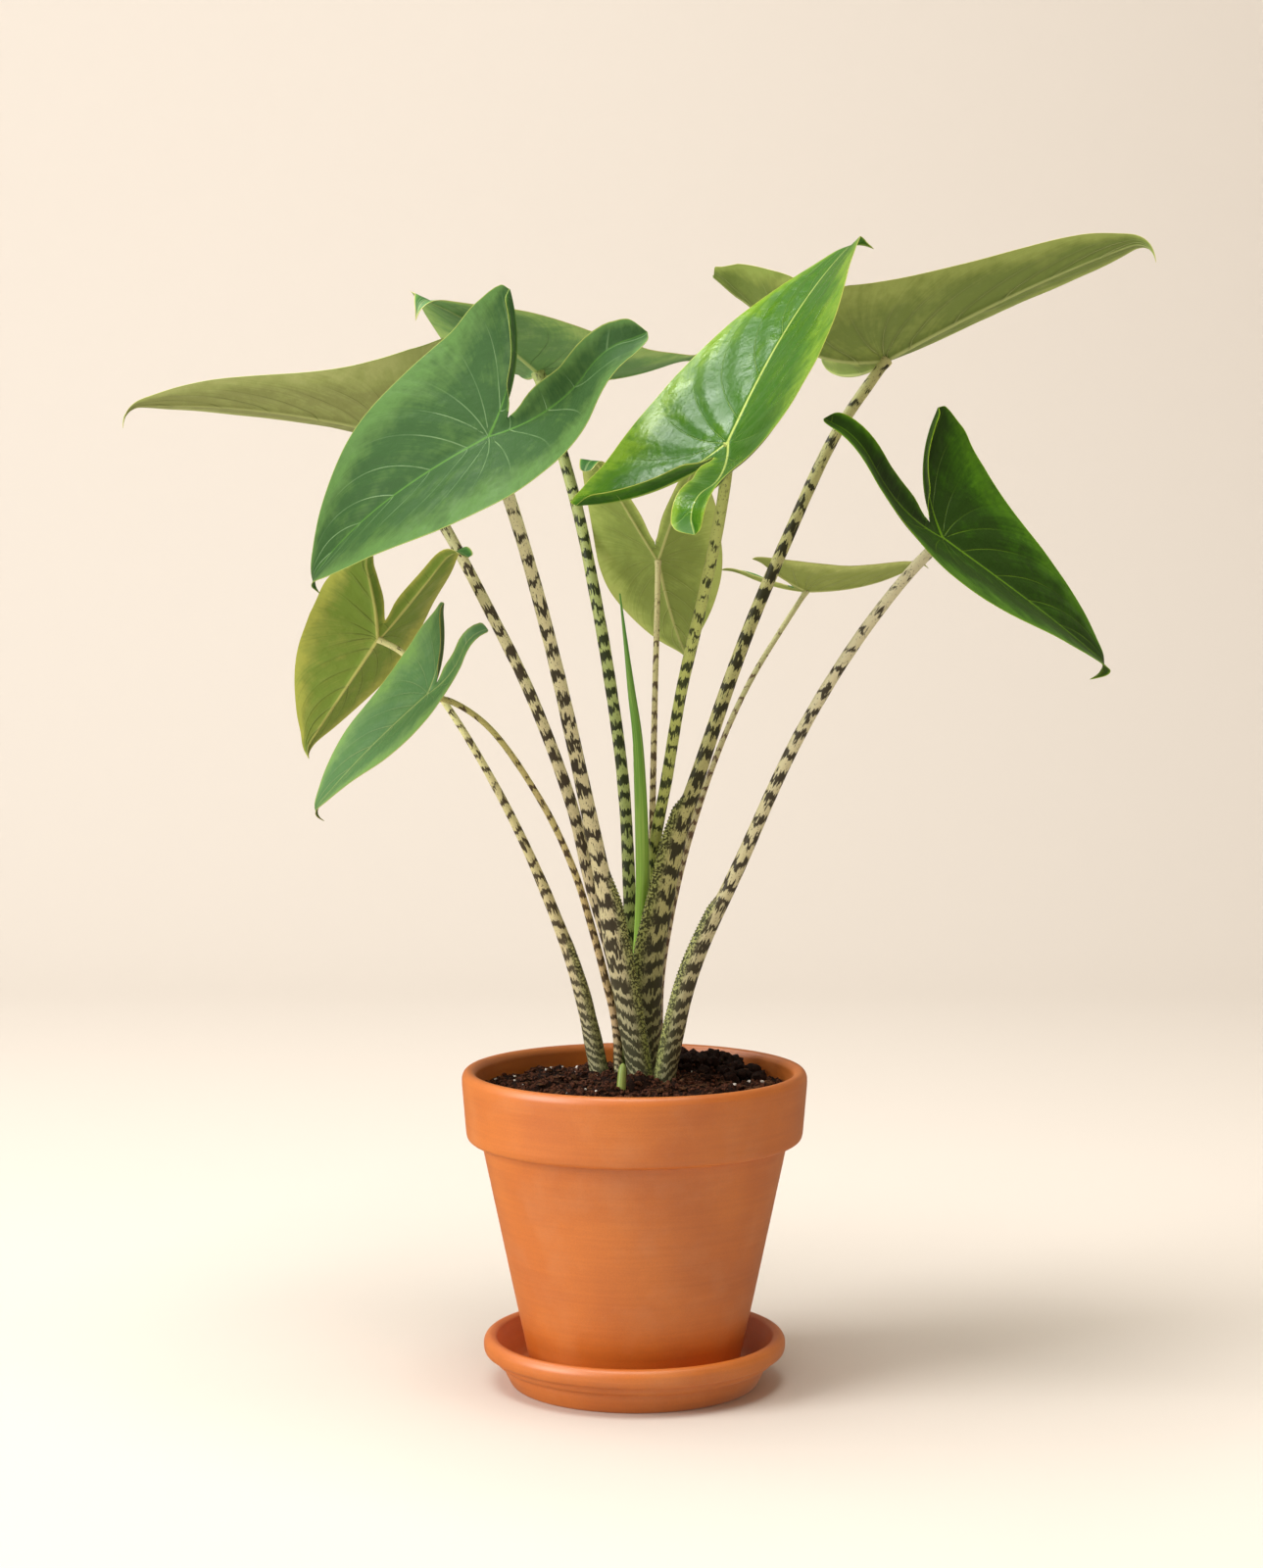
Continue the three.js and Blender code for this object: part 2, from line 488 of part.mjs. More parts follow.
// Each blade: at is where it meets its stem; heading turns its tip from +X towards +Y, pitch lifts
// the tip and roll the half on its right. fold is the V of its two halves, cup curves them, arch and
// hook bend the midrib and its tip down, lift raises the lobes and curl turns their ends down, sway
// and twist bend the blade sideways and wring it. slim narrows its middle, uneven lengthens one
// lobe, innerFold raises the lobes' inner strips, and the waves run along each margin.
// Each stem: foot on the corm, points it passes through, radii at foot and head, and the length and
// bulge of its sheath, how that swells downwards, how gently it begins, and which way it faces.
const PLAIN = {
  cup: 0, sway: 0, twist: 0, slim: 0.03, uneven: 0, spread: 0.03, waveRight: [-2, 0], waveLeft: [-2, 0],
};
const LEAVES = [
  {
    name: 'front_left', tone: 'mid',
    blade: {
      ...PLAIN, at: [-83, -95, 570], heading: 176, pitch: -28, roll: 41, length: 153, width: 172,
      lobes: 93, fold: 16, cup: -6, arch: 39, hook: 56, lift: 59, curl: 43, sway: 11, slim: 0.02,
      uneven: -0.22, spread: -0.01, innerFold: 41, waveRight: [-3, -2],
    },
    stem: {
      foot: [4.5, 4],
      via: [
        [-3, 3, 217], [-8, 0, 244], [-14, -6, 276], [-20, -16, 313], [-32, -32, 373],
        [-49, -55, 451], [-65, -76, 513],
      ],
      r: [6.9, 3.7], sheath: 145, sheathStep: 32, sheathBulge: 0.95,
      sheathSide: [0.95, -0.3],
    },
  },
  {
    name: 'back_left', tone: 'back',
    blade: {
      ...PLAIN, at: [-152, 45, 581], heading: 188, pitch: 12, roll: -20, length: 172, width: 144,
      lobes: 65, fold: 9, cup: 20, arch: 23, hook: 77, lift: 30, curl: 11, sway: -7, twist: 3, slim: 0.31,
      spread: 0.14, innerFold: 8, waveRight: [3, 4], waveLeft: [-5, 1],
    },
    stem: {
      foot: [-9, 28],
      via: [
        [-10.5, 29, 240], [-28, 28, 307], [-39, 30, 352], [-64, 34, 419], [-89, 37, 470],
        [-114, 41, 517],
      ],
      r: [4.3, 3.4],
    },
  },
  {
    name: 'back_centre', tone: 'back',
    blade: {
      ...PLAIN, at: [-61, 110, 622], heading: 247, pitch: 17, roll: 5, length: 174, width: 149, lobes: 99,
      fold: 12, cup: 3, arch: 14, hook: 82, lift: 38, curl: 33, sway: 1, twist: 10, slim: 0.02,
      uneven: -0.01, spread: 0.13, innerFold: 14, waveRight: [0, -1], waveLeft: [-3, 1],
    },
    stem: {
      foot: [-2, 34],
      via: [[-3, 43, 289], [-7, 57, 363], [-16, 70, 430], [-25, 80, 481], [-37, 92, 538]],
      r: [4.2, 3.6],
    },
  },
  {
    name: 'front_right', tone: 'young',
    blade: {
      ...PLAIN, at: [54, -80, 568], heading: 48, pitch: 55, roll: 15, length: 193, width: 184, lobes: 84,
      fold: 9, cup: 7, arch: 23, hook: 54, lift: 45, curl: 48, sway: -10, twist: 3, uneven: 0.15,
      spread: 0.01, innerFold: 34, waveRight: [-4, 2], waveLeft: [-1, 0],
    },
    stem: {
      foot: [6.5, 33],
      via: [
        [8, 34, 240], [11.5, 32, 277], [12.5, 27, 325], [19.5, 11, 368], [28, -18, 423],
        [39, -46, 474], [49, -68, 524],
      ],
      r: [3.9, 3.4], tone: 'youngStem',
    },
  },
  {
    name: 'back_right', tone: 'back',
    blade: {
      ...PLAIN, at: [157, 84, 628], heading: -6, pitch: 28, roll: 17, length: 189, width: 156, lobes: 91,
      fold: 13, cup: 18, arch: 14, hook: 93, lift: 67, curl: 17, sway: 7, twist: 19, slim: 0.4,
      uneven: 0.29, spread: 0.24, innerFold: 41, waveRight: [-4, -5], waveLeft: [-1, -1],
    },
    stem: {
      foot: [10, 20],
      via: [
        [10, 18, 221], [12.5, 16, 260], [18, 16, 290], [27, 19, 333], [39, 24, 370], [67, 38, 450],
        [95, 50, 516], [125, 66, 579],
      ],
      r: [7.1, 3.5], sheath: 182, sheathBulge: 0.8, sheathSwell: 2, sheathSide: [-0.9, -0.4],
    },
  },
  {
    name: 'right', tone: 'dark',
    blade: {
      ...PLAIN, at: [179, -60, 513], heading: 9, pitch: -35, roll: -36, length: 153, width: 143,
      lobes: 83, fold: 16, cup: 2, arch: 19, hook: 108, lift: 47, curl: 38, sway: -26, twist: 3,
      slim: 0.11, uneven: 0.17, spread: 0.1, innerFold: 37, waveRight: [-4, -1], waveLeft: [-3, 1],
    },
    stem: {
      foot: [17, -2],
      via: [[34, -9, 252], [63, -18, 319], [98, -34, 398], [131, -46, 454], [161, -55, 494]],
      r: [6, 3.3], sheath: 128, sheathBulge: 0.5, sheathSwell: 0.8, sheathSide: [-0.95, -0.3],
    },
  },
  {
    name: 'mid_right', tone: 'back',
    blade: {
      ...PLAIN, at: [109, 95, 483], heading: 14, pitch: 0, roll: 10, length: 86, width: 77, lobes: 46,
      fold: 19, cup: -9, arch: -33, hook: 72, lift: 23, curl: 24, twist: 6, uneven: -0.01, spread: 0.09,
      innerFold: 23, waveRight: [-1, 0], waveLeft: [-3, -2],
    },
    stem: {
      foot: [15, 32],
      via: [
        [16, 32, 240], [22.5, 38, 282], [34.5, 50, 330], [54, 64, 386], [73, 76, 426],
        [93, 88, 458],
      ],
      r: [2.8, 1.7], tone: 'thinStem',
    },
  },
  {
    name: 'centre', tone: 'back',
    blade: {
      ...PLAIN, at: [15, 85, 502], heading: 76, pitch: -49, roll: 4, length: 99, width: 81, lobes: 83,
      fold: 10, cup: -1, arch: -20, hook: 15, lift: -10, curl: 67, sway: 3, twist: 11, slim: -0.01,
      uneven: -0.06, spread: 0.02, innerFold: 9, waveRight: [0, 0], waveLeft: [-3, -1],
    },
    stem: {
      foot: [4, 42],
      via: [[11, 46, 265], [11, 55, 326], [12, 63, 380], [13, 71, 423], [14, 78, 460]],
      r: [2.9, 1.8], tone: 'thinStem',
    },
  },
  {
    name: 'lower_left', tone: 'back',
    blade: {
      ...PLAIN, at: [-157, 25, 454], heading: 128, pitch: -41, roll: -6, length: 105, width: 92,
      lobes: 66, fold: 22, cup: 4, arch: 15, hook: 76, lift: -1, curl: 53, sway: -12, twist: -9,
      slim: 0.01, uneven: 0.07, spread: -0.12, innerFold: 37, waveRight: [-2, 3], waveLeft: [-2, -3],
    },
    stem: {
      foot: [-20, 22],
      via: [[-34, 25, 240], [-52, 26, 291], [-79, 25, 351], [-116, 25, 414], [-141, 25, 444]],
      r: [6, 1.9], sheath: 98, sheathBulge: 0.3, sheathSide: [0.7, -0.7],
    },
  },
  {
    name: 'small_left', tone: 'mid',
    blade: {
      ...PLAIN, at: [-121, -55, 422], heading: 173, pitch: -41, roll: 28, length: 108, width: 101,
      lobes: 52, fold: 14, cup: -7, arch: 14, hook: 88, lift: 47, curl: 51, sway: 7, twist: 2,
      uneven: -0.09, spread: -0.01, innerFold: 31, waveRight: [-3, 1], waveLeft: [-3, 1],
    },
    stem: {
      foot: [-9, 9],
      via: [
        [-11.5, 12, 218], [-17, 9, 243], [-25, 2, 275], [-37, -19, 317], [-55, -32, 357],
        [-86, -48, 403], [-107, -54, 418],
      ],
      r: [2.9, 1.8], tone: 'thinStem',
    },
  },
];

const plant = new THREE.Group();

function addPiece(name, geometry, look) {
  const mesh = new THREE.Mesh(geometry, look);
  mesh.name = name;
  plant.add(mesh);
}

const clay = material('clay', 0.85);
addPiece('saucer', saucer(), clay);
addPiece('pot', pot(), clay);
addPiece('soil', soil(), material('soil', 1));
addPiece('corm', corm(), material('corm', 0.9));

for (const leaf of LEAVES) {
  addPiece(`blade_${leaf.name}`, blade(leaf.blade), material(leaf.tone, 0.5));
  const { upper } = bladeMap(leaf.blade);
  const under = BLADE_THICKNESS + ribHeight(leaf.blade) + GAP + 0.1;
  const head = new THREE.Vector3(...leaf.blade.at).addScaledVector(upper, -under);
  const look = leaf.stem.tone ?? 'stem';
  addPiece(`stem_${leaf.name}`, stem(leaf.stem, head, upper), material(look, 0.6));
}

addPiece('rolled_leaf', spear(
  [
    [-2, 23, CROWN_TOP_Z + GAP], [1.5, 28, 240], [4, 27, 276], [5, 20, 310], [2, 20, 390],
    [-2, 22, 422], [-9, 24, 481],
  ],
  [[0, 3], [0.3, 4.2], [0.5, 4.3], [0.75, 3], [0.9, 1.4], [1, 0.5]], 10, 20,
), material('roll', 0.4));
addPiece('shoot', spear(
  [[SHOOT.x, SHOOT.y, SHOOT.footZ], [SHOOT.x, SHOOT.y, 182], [SHOOT.x + 1, SHOOT.y + 3, SHOOT.topZ]],
  [[0, SHOOT.r], [0.5, 2.9], [0.8, 2.2], [1, 0.4]], 10, 8,
), material('roll', 0.5));

export default plant;
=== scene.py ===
"""An alocasia zebrina in a clay pot on its saucer.

Blender works in metres; the sizes of the pieces are written in millimetres and scaled by MM.
"""
import json
import math

import bmesh
import bpy
import numpy as np
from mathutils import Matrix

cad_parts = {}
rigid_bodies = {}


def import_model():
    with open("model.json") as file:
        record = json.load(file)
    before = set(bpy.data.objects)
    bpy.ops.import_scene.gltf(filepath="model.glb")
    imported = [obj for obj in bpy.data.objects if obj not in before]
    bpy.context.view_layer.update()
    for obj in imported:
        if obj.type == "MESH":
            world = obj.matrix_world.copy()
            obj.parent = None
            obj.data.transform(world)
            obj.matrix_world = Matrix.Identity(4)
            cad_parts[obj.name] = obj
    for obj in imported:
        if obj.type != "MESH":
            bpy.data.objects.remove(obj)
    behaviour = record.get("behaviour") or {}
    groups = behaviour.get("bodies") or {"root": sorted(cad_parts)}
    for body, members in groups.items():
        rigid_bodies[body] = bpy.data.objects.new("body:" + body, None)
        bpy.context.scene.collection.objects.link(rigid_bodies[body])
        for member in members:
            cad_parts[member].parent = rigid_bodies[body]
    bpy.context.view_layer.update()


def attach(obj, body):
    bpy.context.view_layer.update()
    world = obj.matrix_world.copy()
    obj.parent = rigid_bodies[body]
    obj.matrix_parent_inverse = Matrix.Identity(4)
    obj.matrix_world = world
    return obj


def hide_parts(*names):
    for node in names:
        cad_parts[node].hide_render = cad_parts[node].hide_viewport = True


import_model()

# ---------------------------------------------------------------------------------------- saucer
# A shallow dish of unglazed red clay, turned on a wheel and fired. The pot stands loose on its
# floor, and a rolled bead stiffens its edge.
MM = 0.001
SAUCER_R = 92.2
SAUCER_H = 30
SAUCER_INSIDE_R = 83.6
SAUCER_FLOOR = 8
SAUCER_FOOT_R = 75
BEAD_Z = SAUCER_H - 5.5
CORNER_R = 2.5
TURNED_SIDES = 192
WOBBLE = 0.12  # per cent of the radius, that the potter's hand strays
WOBBLE_SPAN = 55  # millimetres from one high spot to the next


def rounded(profile):
    """The [radius, height] profile with each corner rounded off."""
    points = [np.array(p, float) for p in profile]
    smooth = [points[0]]
    for before, corner, after in zip(points, points[1:], points[2:]):
        to_before, to_after = before - corner, after - corner
        reach = min(CORNER_R, np.linalg.norm(to_before) * 0.45, np.linalg.norm(to_after) * 0.45)
        a = corner + to_before / np.linalg.norm(to_before) * reach
        b = corner + to_after / np.linalg.norm(to_after) * reach
        for t in np.linspace(0, 1, 5):
            smooth.append((1 - t) ** 2 * a + 2 * t * (1 - t) * corner + t ** 2 * b)
    return np.array(smooth + [points[-1]])


def random_height(points, size, seed=0):
    """A smooth random number from -1 to 1 at each point, which changes over `size` millimetres."""
    cells = np.asarray(points, float) / size
    low = np.floor(cells).astype(np.int64)
    part = cells - low
    part = part * part * (3 - 2 * part)
    total = 0
    for corner in np.ndindex(2, 2, 2):
        # Large odd factors stir a cell's place until it looks random.
        x, y, z = np.moveaxis(low + corner, -1, 0)
        mixed = (x * 73856093) ^ (y * 19349663) ^ (z * 83492791) ^ (seed * 2654435761)
        mixed = ((mixed ^ (mixed >> 13)) * 1274126177) & 0x7FFFFFFF
        value = ((mixed >> 8) & 0xFFFF) / 0x7FFF - 1
        total = total + value * np.prod(np.where(corner, part, 1 - part), axis=-1)
    return total


def wrapped(rings, sides):
    """Faces of a skin over rings of points, and the two faces that close its ends."""
    low = np.arange(rings - 1)[:, None] * sides
    side = np.arange(sides)
    after = (side + 1) % sides
    skin = np.stack([low + side, low + after, low + sides + after, low + sides + side], -1)
    ends = [list(reversed(range(sides))), list(range((rings - 1) * sides, rings * sides))]
    return skin.reshape(-1, 4).tolist(), ends


def turned(profile, seed):
    """Points and faces of a profile turned about the pot's axis on the wheel."""
    angles = np.linspace(0, 2 * np.pi, TURNED_SIDES, endpoint=False)
    around = np.stack([np.cos(angles), np.sin(angles)], axis=1)
    rings = []
    for r, z in rounded(profile):
        ring = np.column_stack([around * r, np.full(TURNED_SIDES, z)])
        ring[:, :2] *= 1 + WOBBLE * random_height(ring, WOBBLE_SPAN, seed)[:, None] / 100
        rings.append(ring)
    return np.concatenate(rings), wrapped(len(rings), TURNED_SIDES)[0]


def piece(name, points, faces, looks, replaces=(), look_of_face=None, maps=None, sharp=50):
    """A mesh piece of the plant or pot, which rides with the rest. looks are its materials, maps
    the numbers that it stores at its points, and sharp the angle of its hard edges."""
    mesh = bpy.data.meshes.new(name)
    mesh.from_pydata((np.asarray(points) * MM).tolist(), [], [tuple(f) for f in faces])
    for look in looks:
        mesh.materials.append(look)
    if look_of_face is not None:
        mesh.polygons.foreach_set("material_index", np.asarray(look_of_face, np.int32))
    for map_name, values in (maps or {}).items():
        layer = mesh.attributes.new(map_name, "FLOAT_VECTOR", "POINT")
        layer.data.foreach_set("vector", np.asarray(values, np.float32).ravel())
    mesh.validate()
    mesh.update()
    mesh.polygons.foreach_set("use_smooth", np.ones(len(mesh.polygons), bool))
    mesh.set_sharp_from_angle(angle=math.radians(sharp))
    thing = bpy.data.objects.new(name, mesh)
    bpy.context.scene.collection.objects.link(thing)
    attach(thing, "root")
    if replaces:
        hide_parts(*replaces)
    return thing


def colour(hex_value):
    """An sRGB hex colour as linear red, green, blue and alpha."""
    parts = [int(hex_value[i:i + 2], 16) / 255 for i in (1, 3, 5)]
    return [p / 12.92 if p <= 0.04045 else ((p + 0.055) / 1.055) ** 2.4 for p in parts] + [1.0]


def finish(name):
    """A new material with an empty node tree."""
    made = bpy.data.materials.new(name)
    made.use_nodes = True
    made.node_tree.nodes.clear()
    return made


def add(made, kind, inputs=(), stops=(), **settings):
    """Adds a shader node. Its inputs are listed in order or given by name: each is a number, a
    hex colour, a node (its first output) or a socket. stops are a ramp's places and colours."""
    node = made.node_tree.nodes.new("ShaderNode" + kind)
    for name, value in settings.items():
        setattr(node, name, value)
    for name, value in inputs.items() if isinstance(inputs, dict) else enumerate(inputs):
        if isinstance(name, int):
            socket = node.inputs[name]
        else:
            socket = next(s for s in node.inputs if s.enabled and s.name == name)
        if isinstance(value, str):
            value = colour(value)
        if isinstance(value, bpy.types.Node):
            value = next(s for s in value.outputs if s.enabled)
        if isinstance(value, bpy.types.NodeSocket):
            made.node_tree.links.new(value, socket)
        else:
            socket.default_value = value
    for place, (at, shade) in enumerate(stops):
        ramp = node.color_ramp.elements
        element = ramp[place] if place < 2 else ramp.new(at)
        element.position = at
        element.color = colour(shade)
    return node


def calc(made, operation, *inputs):
    """A number worked out from others."""
    return add(made, "Math", inputs, operation=operation)


def noise(made, at, scale, detail, rough=0.5):
    """Cloudy noise around 0.5, whose lumps are about 1 / scale across."""
    return add(made, "TexNoise", {"Vector": at, "Scale": scale, "Detail": detail,
                                  "Roughness": rough})


def blend(made, cover, under, over):
    """One colour over another, which it hides as far as cover says."""
    return add(made, "Mix", {"Factor": cover, "A": under, "B": over}, data_type="RGBA")


def eased(made, *inputs):
    """A number taken from one range to another (from 0 to 1 if not given), with soft ends."""
    return add(made, "MapRange", inputs, interpolation_type="SMOOTHSTEP")


def in_mm(made):
    """The place on the piece in millimetres, for patterns whose scale is a real size."""
    place = add(made, "TexCoord").outputs["Object"]
    return add(made, "VectorMath", {0: place, "Scale": 1 / MM}, operation="SCALE")


def coat(made, shade, height, strength, depth, numbers):
    """Ends a material: its colour, a relief of this strength and depth in millimetres, and the
    shader's own numbers."""
    bump = add(made, "Bump", {"Strength": strength, "Distance": depth * MM, "Height": height})
    surface = add(made, "BsdfPrincipled", {"Base Color": shade, "Normal": bump, **numbers})
    add(made, "OutputMaterial", [surface])
    return made


# Unglazed earthenware, wheel thrown and fired: matt, orange, softly mottled, with fine grit.
clay = finish("terracotta")
mm = in_mm(clay)
mottle = noise(clay, mm, 1 / 55, 3, 0.5)
# Faint streaks run round the clay, left by the wet hand.
flat = add(clay, "VectorMath", [mm, (1 / 70, 1 / 70, 1 / 2.6)], operation="MULTIPLY")
wiped = noise(clay, flat, 1.0, 3, 0.6)
mottle = add(clay, "Mix", {"Factor": 0.3, "A": mottle, "B": wiped})
fired = add(clay, "ValToRGB", [mottle], [(0.3, "#c56619"), (0.72, "#de7e26")])
grit = noise(clay, mm, 1 / 0.9, 3, 0.7)
gritty = add(clay, "MapRange", [grit, 0.4, 0.75, 0.0, 0.2])
speckled = blend(clay, gritty, fired, "#94491f")
# A pale bloom of salts where water has dried, in soft patches.
bloom = noise(clay, mm, 1 / 34, 5, 0.62)
bloomed = add(clay, "MapRange", [bloom, 0.5, 0.8, 0.0, 0.22])
shade = blend(clay, bloomed, speckled, "#dc9d6c")
# Throwing rings, 4 mm apart, that the fingers leave as the clay rises.
rings = add(clay, "TexWave", {"Vector": mm, "Scale": 0.078, "Distortion": 4.0, "Detail": 2,
                              "Detail Scale": 0.06}, bands_direction="Z")
height = calc(clay, "MULTIPLY_ADD", rings, 0.5, grit)
coat(clay, shade, height, 0.4, 0.1, {"Roughness": 0.46, "IOR": 1.5, "Specular IOR Level": 1.0})

points, faces = turned([
    (0.01, 0), (SAUCER_FOOT_R, 0), (SAUCER_FOOT_R + 1.2, 1.5), (SAUCER_FOOT_R + 4.5, 8),
    (SAUCER_FOOT_R + 5.2, 13), (SAUCER_R - 7, 13.8), (SAUCER_R - 6.4, 18), (SAUCER_R - 1, 19.2),
    (SAUCER_R, BEAD_Z - 2.5), (SAUCER_R, BEAD_Z + 1.5), (SAUCER_R - 1.4, SAUCER_H - 1.3),
    (SAUCER_R - 3.8, SAUCER_H), (SAUCER_INSIDE_R + 1.2, SAUCER_H - 1),
    (SAUCER_INSIDE_R, SAUCER_H - 3.5), (SAUCER_FOOT_R + 0.5, SAUCER_FLOOR + 4),
    (SAUCER_FOOT_R - 3, SAUCER_FLOOR), (0.01, SAUCER_FLOOR)], seed=1)
piece("clay_saucer", points, faces, [clay], ["saucer"])

# ------------------------------------------------------------------------------------------- pot
# The classic flower pot of the same clay: a tapered body, a deep band round the rim and a drain
# hole in the floor. It stands on the saucer by its own weight.
POT_FOOT_Z = 8.3
POT_TOP_Z = 192.5
RIM_R = 105
RIM_INSIDE_R = 96.5
RIM_BAND_H = 42.5
BODY_TOP_R = 93.3
BODY_FOOT_R = 63.5
WALL = 8.5
POT_FLOOR_Z = POT_FOOT_Z + 10
DRAIN_R = 11
BAND_Z = POT_TOP_Z - RIM_BAND_H
WIDENED_Z = BAND_Z + RIM_BAND_H / 2


def body_r(z):
    """Outside radius of the pot's body below its band."""
    return BODY_FOOT_R + (BODY_TOP_R - BODY_FOOT_R) * (z - POT_FOOT_Z) / (BAND_Z - POT_FOOT_Z)


points, faces = turned([
    (DRAIN_R, POT_FOOT_Z), (BODY_FOOT_R - 1.5, POT_FOOT_Z), (BODY_FOOT_R, POT_FOOT_Z + 1.5),
    (body_r(60), 60), (body_r(BAND_Z), BAND_Z - 0.5), (BODY_TOP_R + 1, BAND_Z + 0.2),
    (RIM_R - 6, BAND_Z - 0.5), (RIM_R - 3.4, BAND_Z + 1.2), (RIM_R - 2.6, BAND_Z + 4),
    (RIM_R, POT_TOP_Z - 8), (RIM_R, POT_TOP_Z - 4), (RIM_R - 1.2, POT_TOP_Z - 1.3),
    (RIM_R - 3.2, POT_TOP_Z), (RIM_INSIDE_R + 2, POT_TOP_Z - 0.4),
    (RIM_INSIDE_R, POT_TOP_Z - 3), (RIM_INSIDE_R, WIDENED_Z), (body_r(BAND_Z) - WALL, BAND_Z),
    (body_r(POT_FLOOR_Z) - WALL, POT_FLOOR_Z), (DRAIN_R, POT_FLOOR_Z), (DRAIN_R, POT_FOOT_Z)],
    seed=2)
piece("clay_pot", points, faces, [clay], ["pot"])

# ------------------------------------------------------------------------------------------ soil
# Damp potting soil of peat and bark, pressed round the crown and left crumbly on top, with white
# grains of perlite that keep it open. It fills the pot to a finger's width under the rim.
SOIL_R = RIM_INSIDE_R - 0.4
SOIL_EDGE_Z = 179
SOIL_CROWN_Z = 186.5
SOIL_GAP = 0.7  # between the soil and the wall under the widened rim, where it has shrunk
CROWN_CENTRE = (0, 16)
HEAP_TOP_R = 20
HEAP_SLOPE = 65
CLOD_H = 1.7
MOUND_AT = (50, 52)
MOUND_H = 6
MOUND_SPREAD = (1500, 500)  # square millimetres, across and towards the back
EVEN_FROM = 82  # from here to the wall the soil lies even
SOIL_RINGS = 104
SOIL_SIDES = 320


def smoothstep(t):
    t = np.clip(t, 0, 1)
    return t * t * (3 - 2 * t)


def soil_z(x, y):
    """Height of the soil: heaped round the crown, sinking to the wall, with clods in between."""
    from_crown = np.hypot(x - CROWN_CENTRE[0], y - CROWN_CENTRE[1])
    heap = 1 - smoothstep((from_crown - HEAP_TOP_R) / HEAP_SLOPE)
    clods = np.sin(x * 0.11 + 1.3) * np.cos(y * 0.13 + 0.4) + 0.6 * np.sin(x * 0.21 - y * 0.17)
    mound = np.exp(-((x - MOUND_AT[0]) ** 2) / MOUND_SPREAD[0]
                   - (y - MOUND_AT[1]) ** 2 / MOUND_SPREAD[1])
    fade = smoothstep((EVEN_FROM + 8 - np.hypot(x, y)) / 8)
    return (SOIL_EDGE_Z + (SOIL_CROWN_Z - SOIL_EDGE_Z) * heap
            + (CLOD_H * clods + MOUND_H * mound) * fade)


def crumbly_z(x, y):
    """The same with its crumbs and holes, from 12 mm lumps down to 2 mm grains."""
    flat = np.stack([x, y, np.zeros_like(x)], axis=-1)
    lumps = 1.6 * random_height(flat, 12, 3) - 1.8 * np.abs(random_height(flat, 7, 4))
    grains = 1.1 * random_height(flat, 3.4, 5) + 0.8 * random_height(flat, 1.9, 6)
    return soil_z(x, y) + lumps + grains + 0.4


def potting_soil(name, dark, light):
    """Damp peat and bark: almost black, dull, with brown fibres and a crumb of about 1 mm."""
    made = finish(name)
    crumb = noise(made, in_mm(made), 1 / 1.5, 5, 0.75)
    shade = add(made, "ValToRGB", [crumb], [(0.36, dark), (0.68, light)])
    return coat(made, shade, crumb, 0.9, 0.7,
                {"Roughness": 0.85, "IOR": 1.4, "Specular IOR Level": 0.2})


around = np.linspace(0, 2 * np.pi, SOIL_SIDES, endpoint=False)
rings = []
for r in np.linspace(0.4, SOIL_R, SOIL_RINGS):
    x, y = r * np.cos(around), r * np.sin(around)
    rings.append(np.stack([x, y, crumbly_z(x, y)], axis=1))
for r, z in ((SOIL_R, SOIL_EDGE_Z - 6), (SOIL_R - 0.3, WIDENED_Z + 1),
             (body_r(BAND_Z) - WALL - SOIL_GAP, BAND_Z),
             (body_r(POT_FLOOR_Z) - WALL - SOIL_GAP, POT_FLOOR_Z + 0.3), (0.4, POT_FLOOR_Z + 0.3)):
    rings.append(np.stack([r * np.cos(around), r * np.sin(around), np.full(SOIL_SIDES, z)], axis=1))
skin, ends = wrapped(len(rings), SOIL_SIDES)
# The rings run from the top down, so the faces turn the other way.
faces = [[a, d, c, b] for a, b, c, d in skin] + [end[::-1] for end in ends]
peat = potting_soil("damp_peat", "#0a0503", "#331c13")
piece("soil_heap", np.concatenate(rings), faces, [peat], ["soil"])


def pebble(detail):
    """A small ball's points and faces, from an icosphere."""
    ball = bpy.data.meshes.new("ball")
    shape = bmesh.new()
    bmesh.ops.create_icosphere(shape, subdivisions=detail, radius=1)
    shape.to_mesh(ball)
    shape.free()
    points = np.array([v.co[:] for v in ball.vertices])
    faces = np.array([f.vertices[:] for f in ball.polygons])
    bpy.data.meshes.remove(ball)
    return points, faces


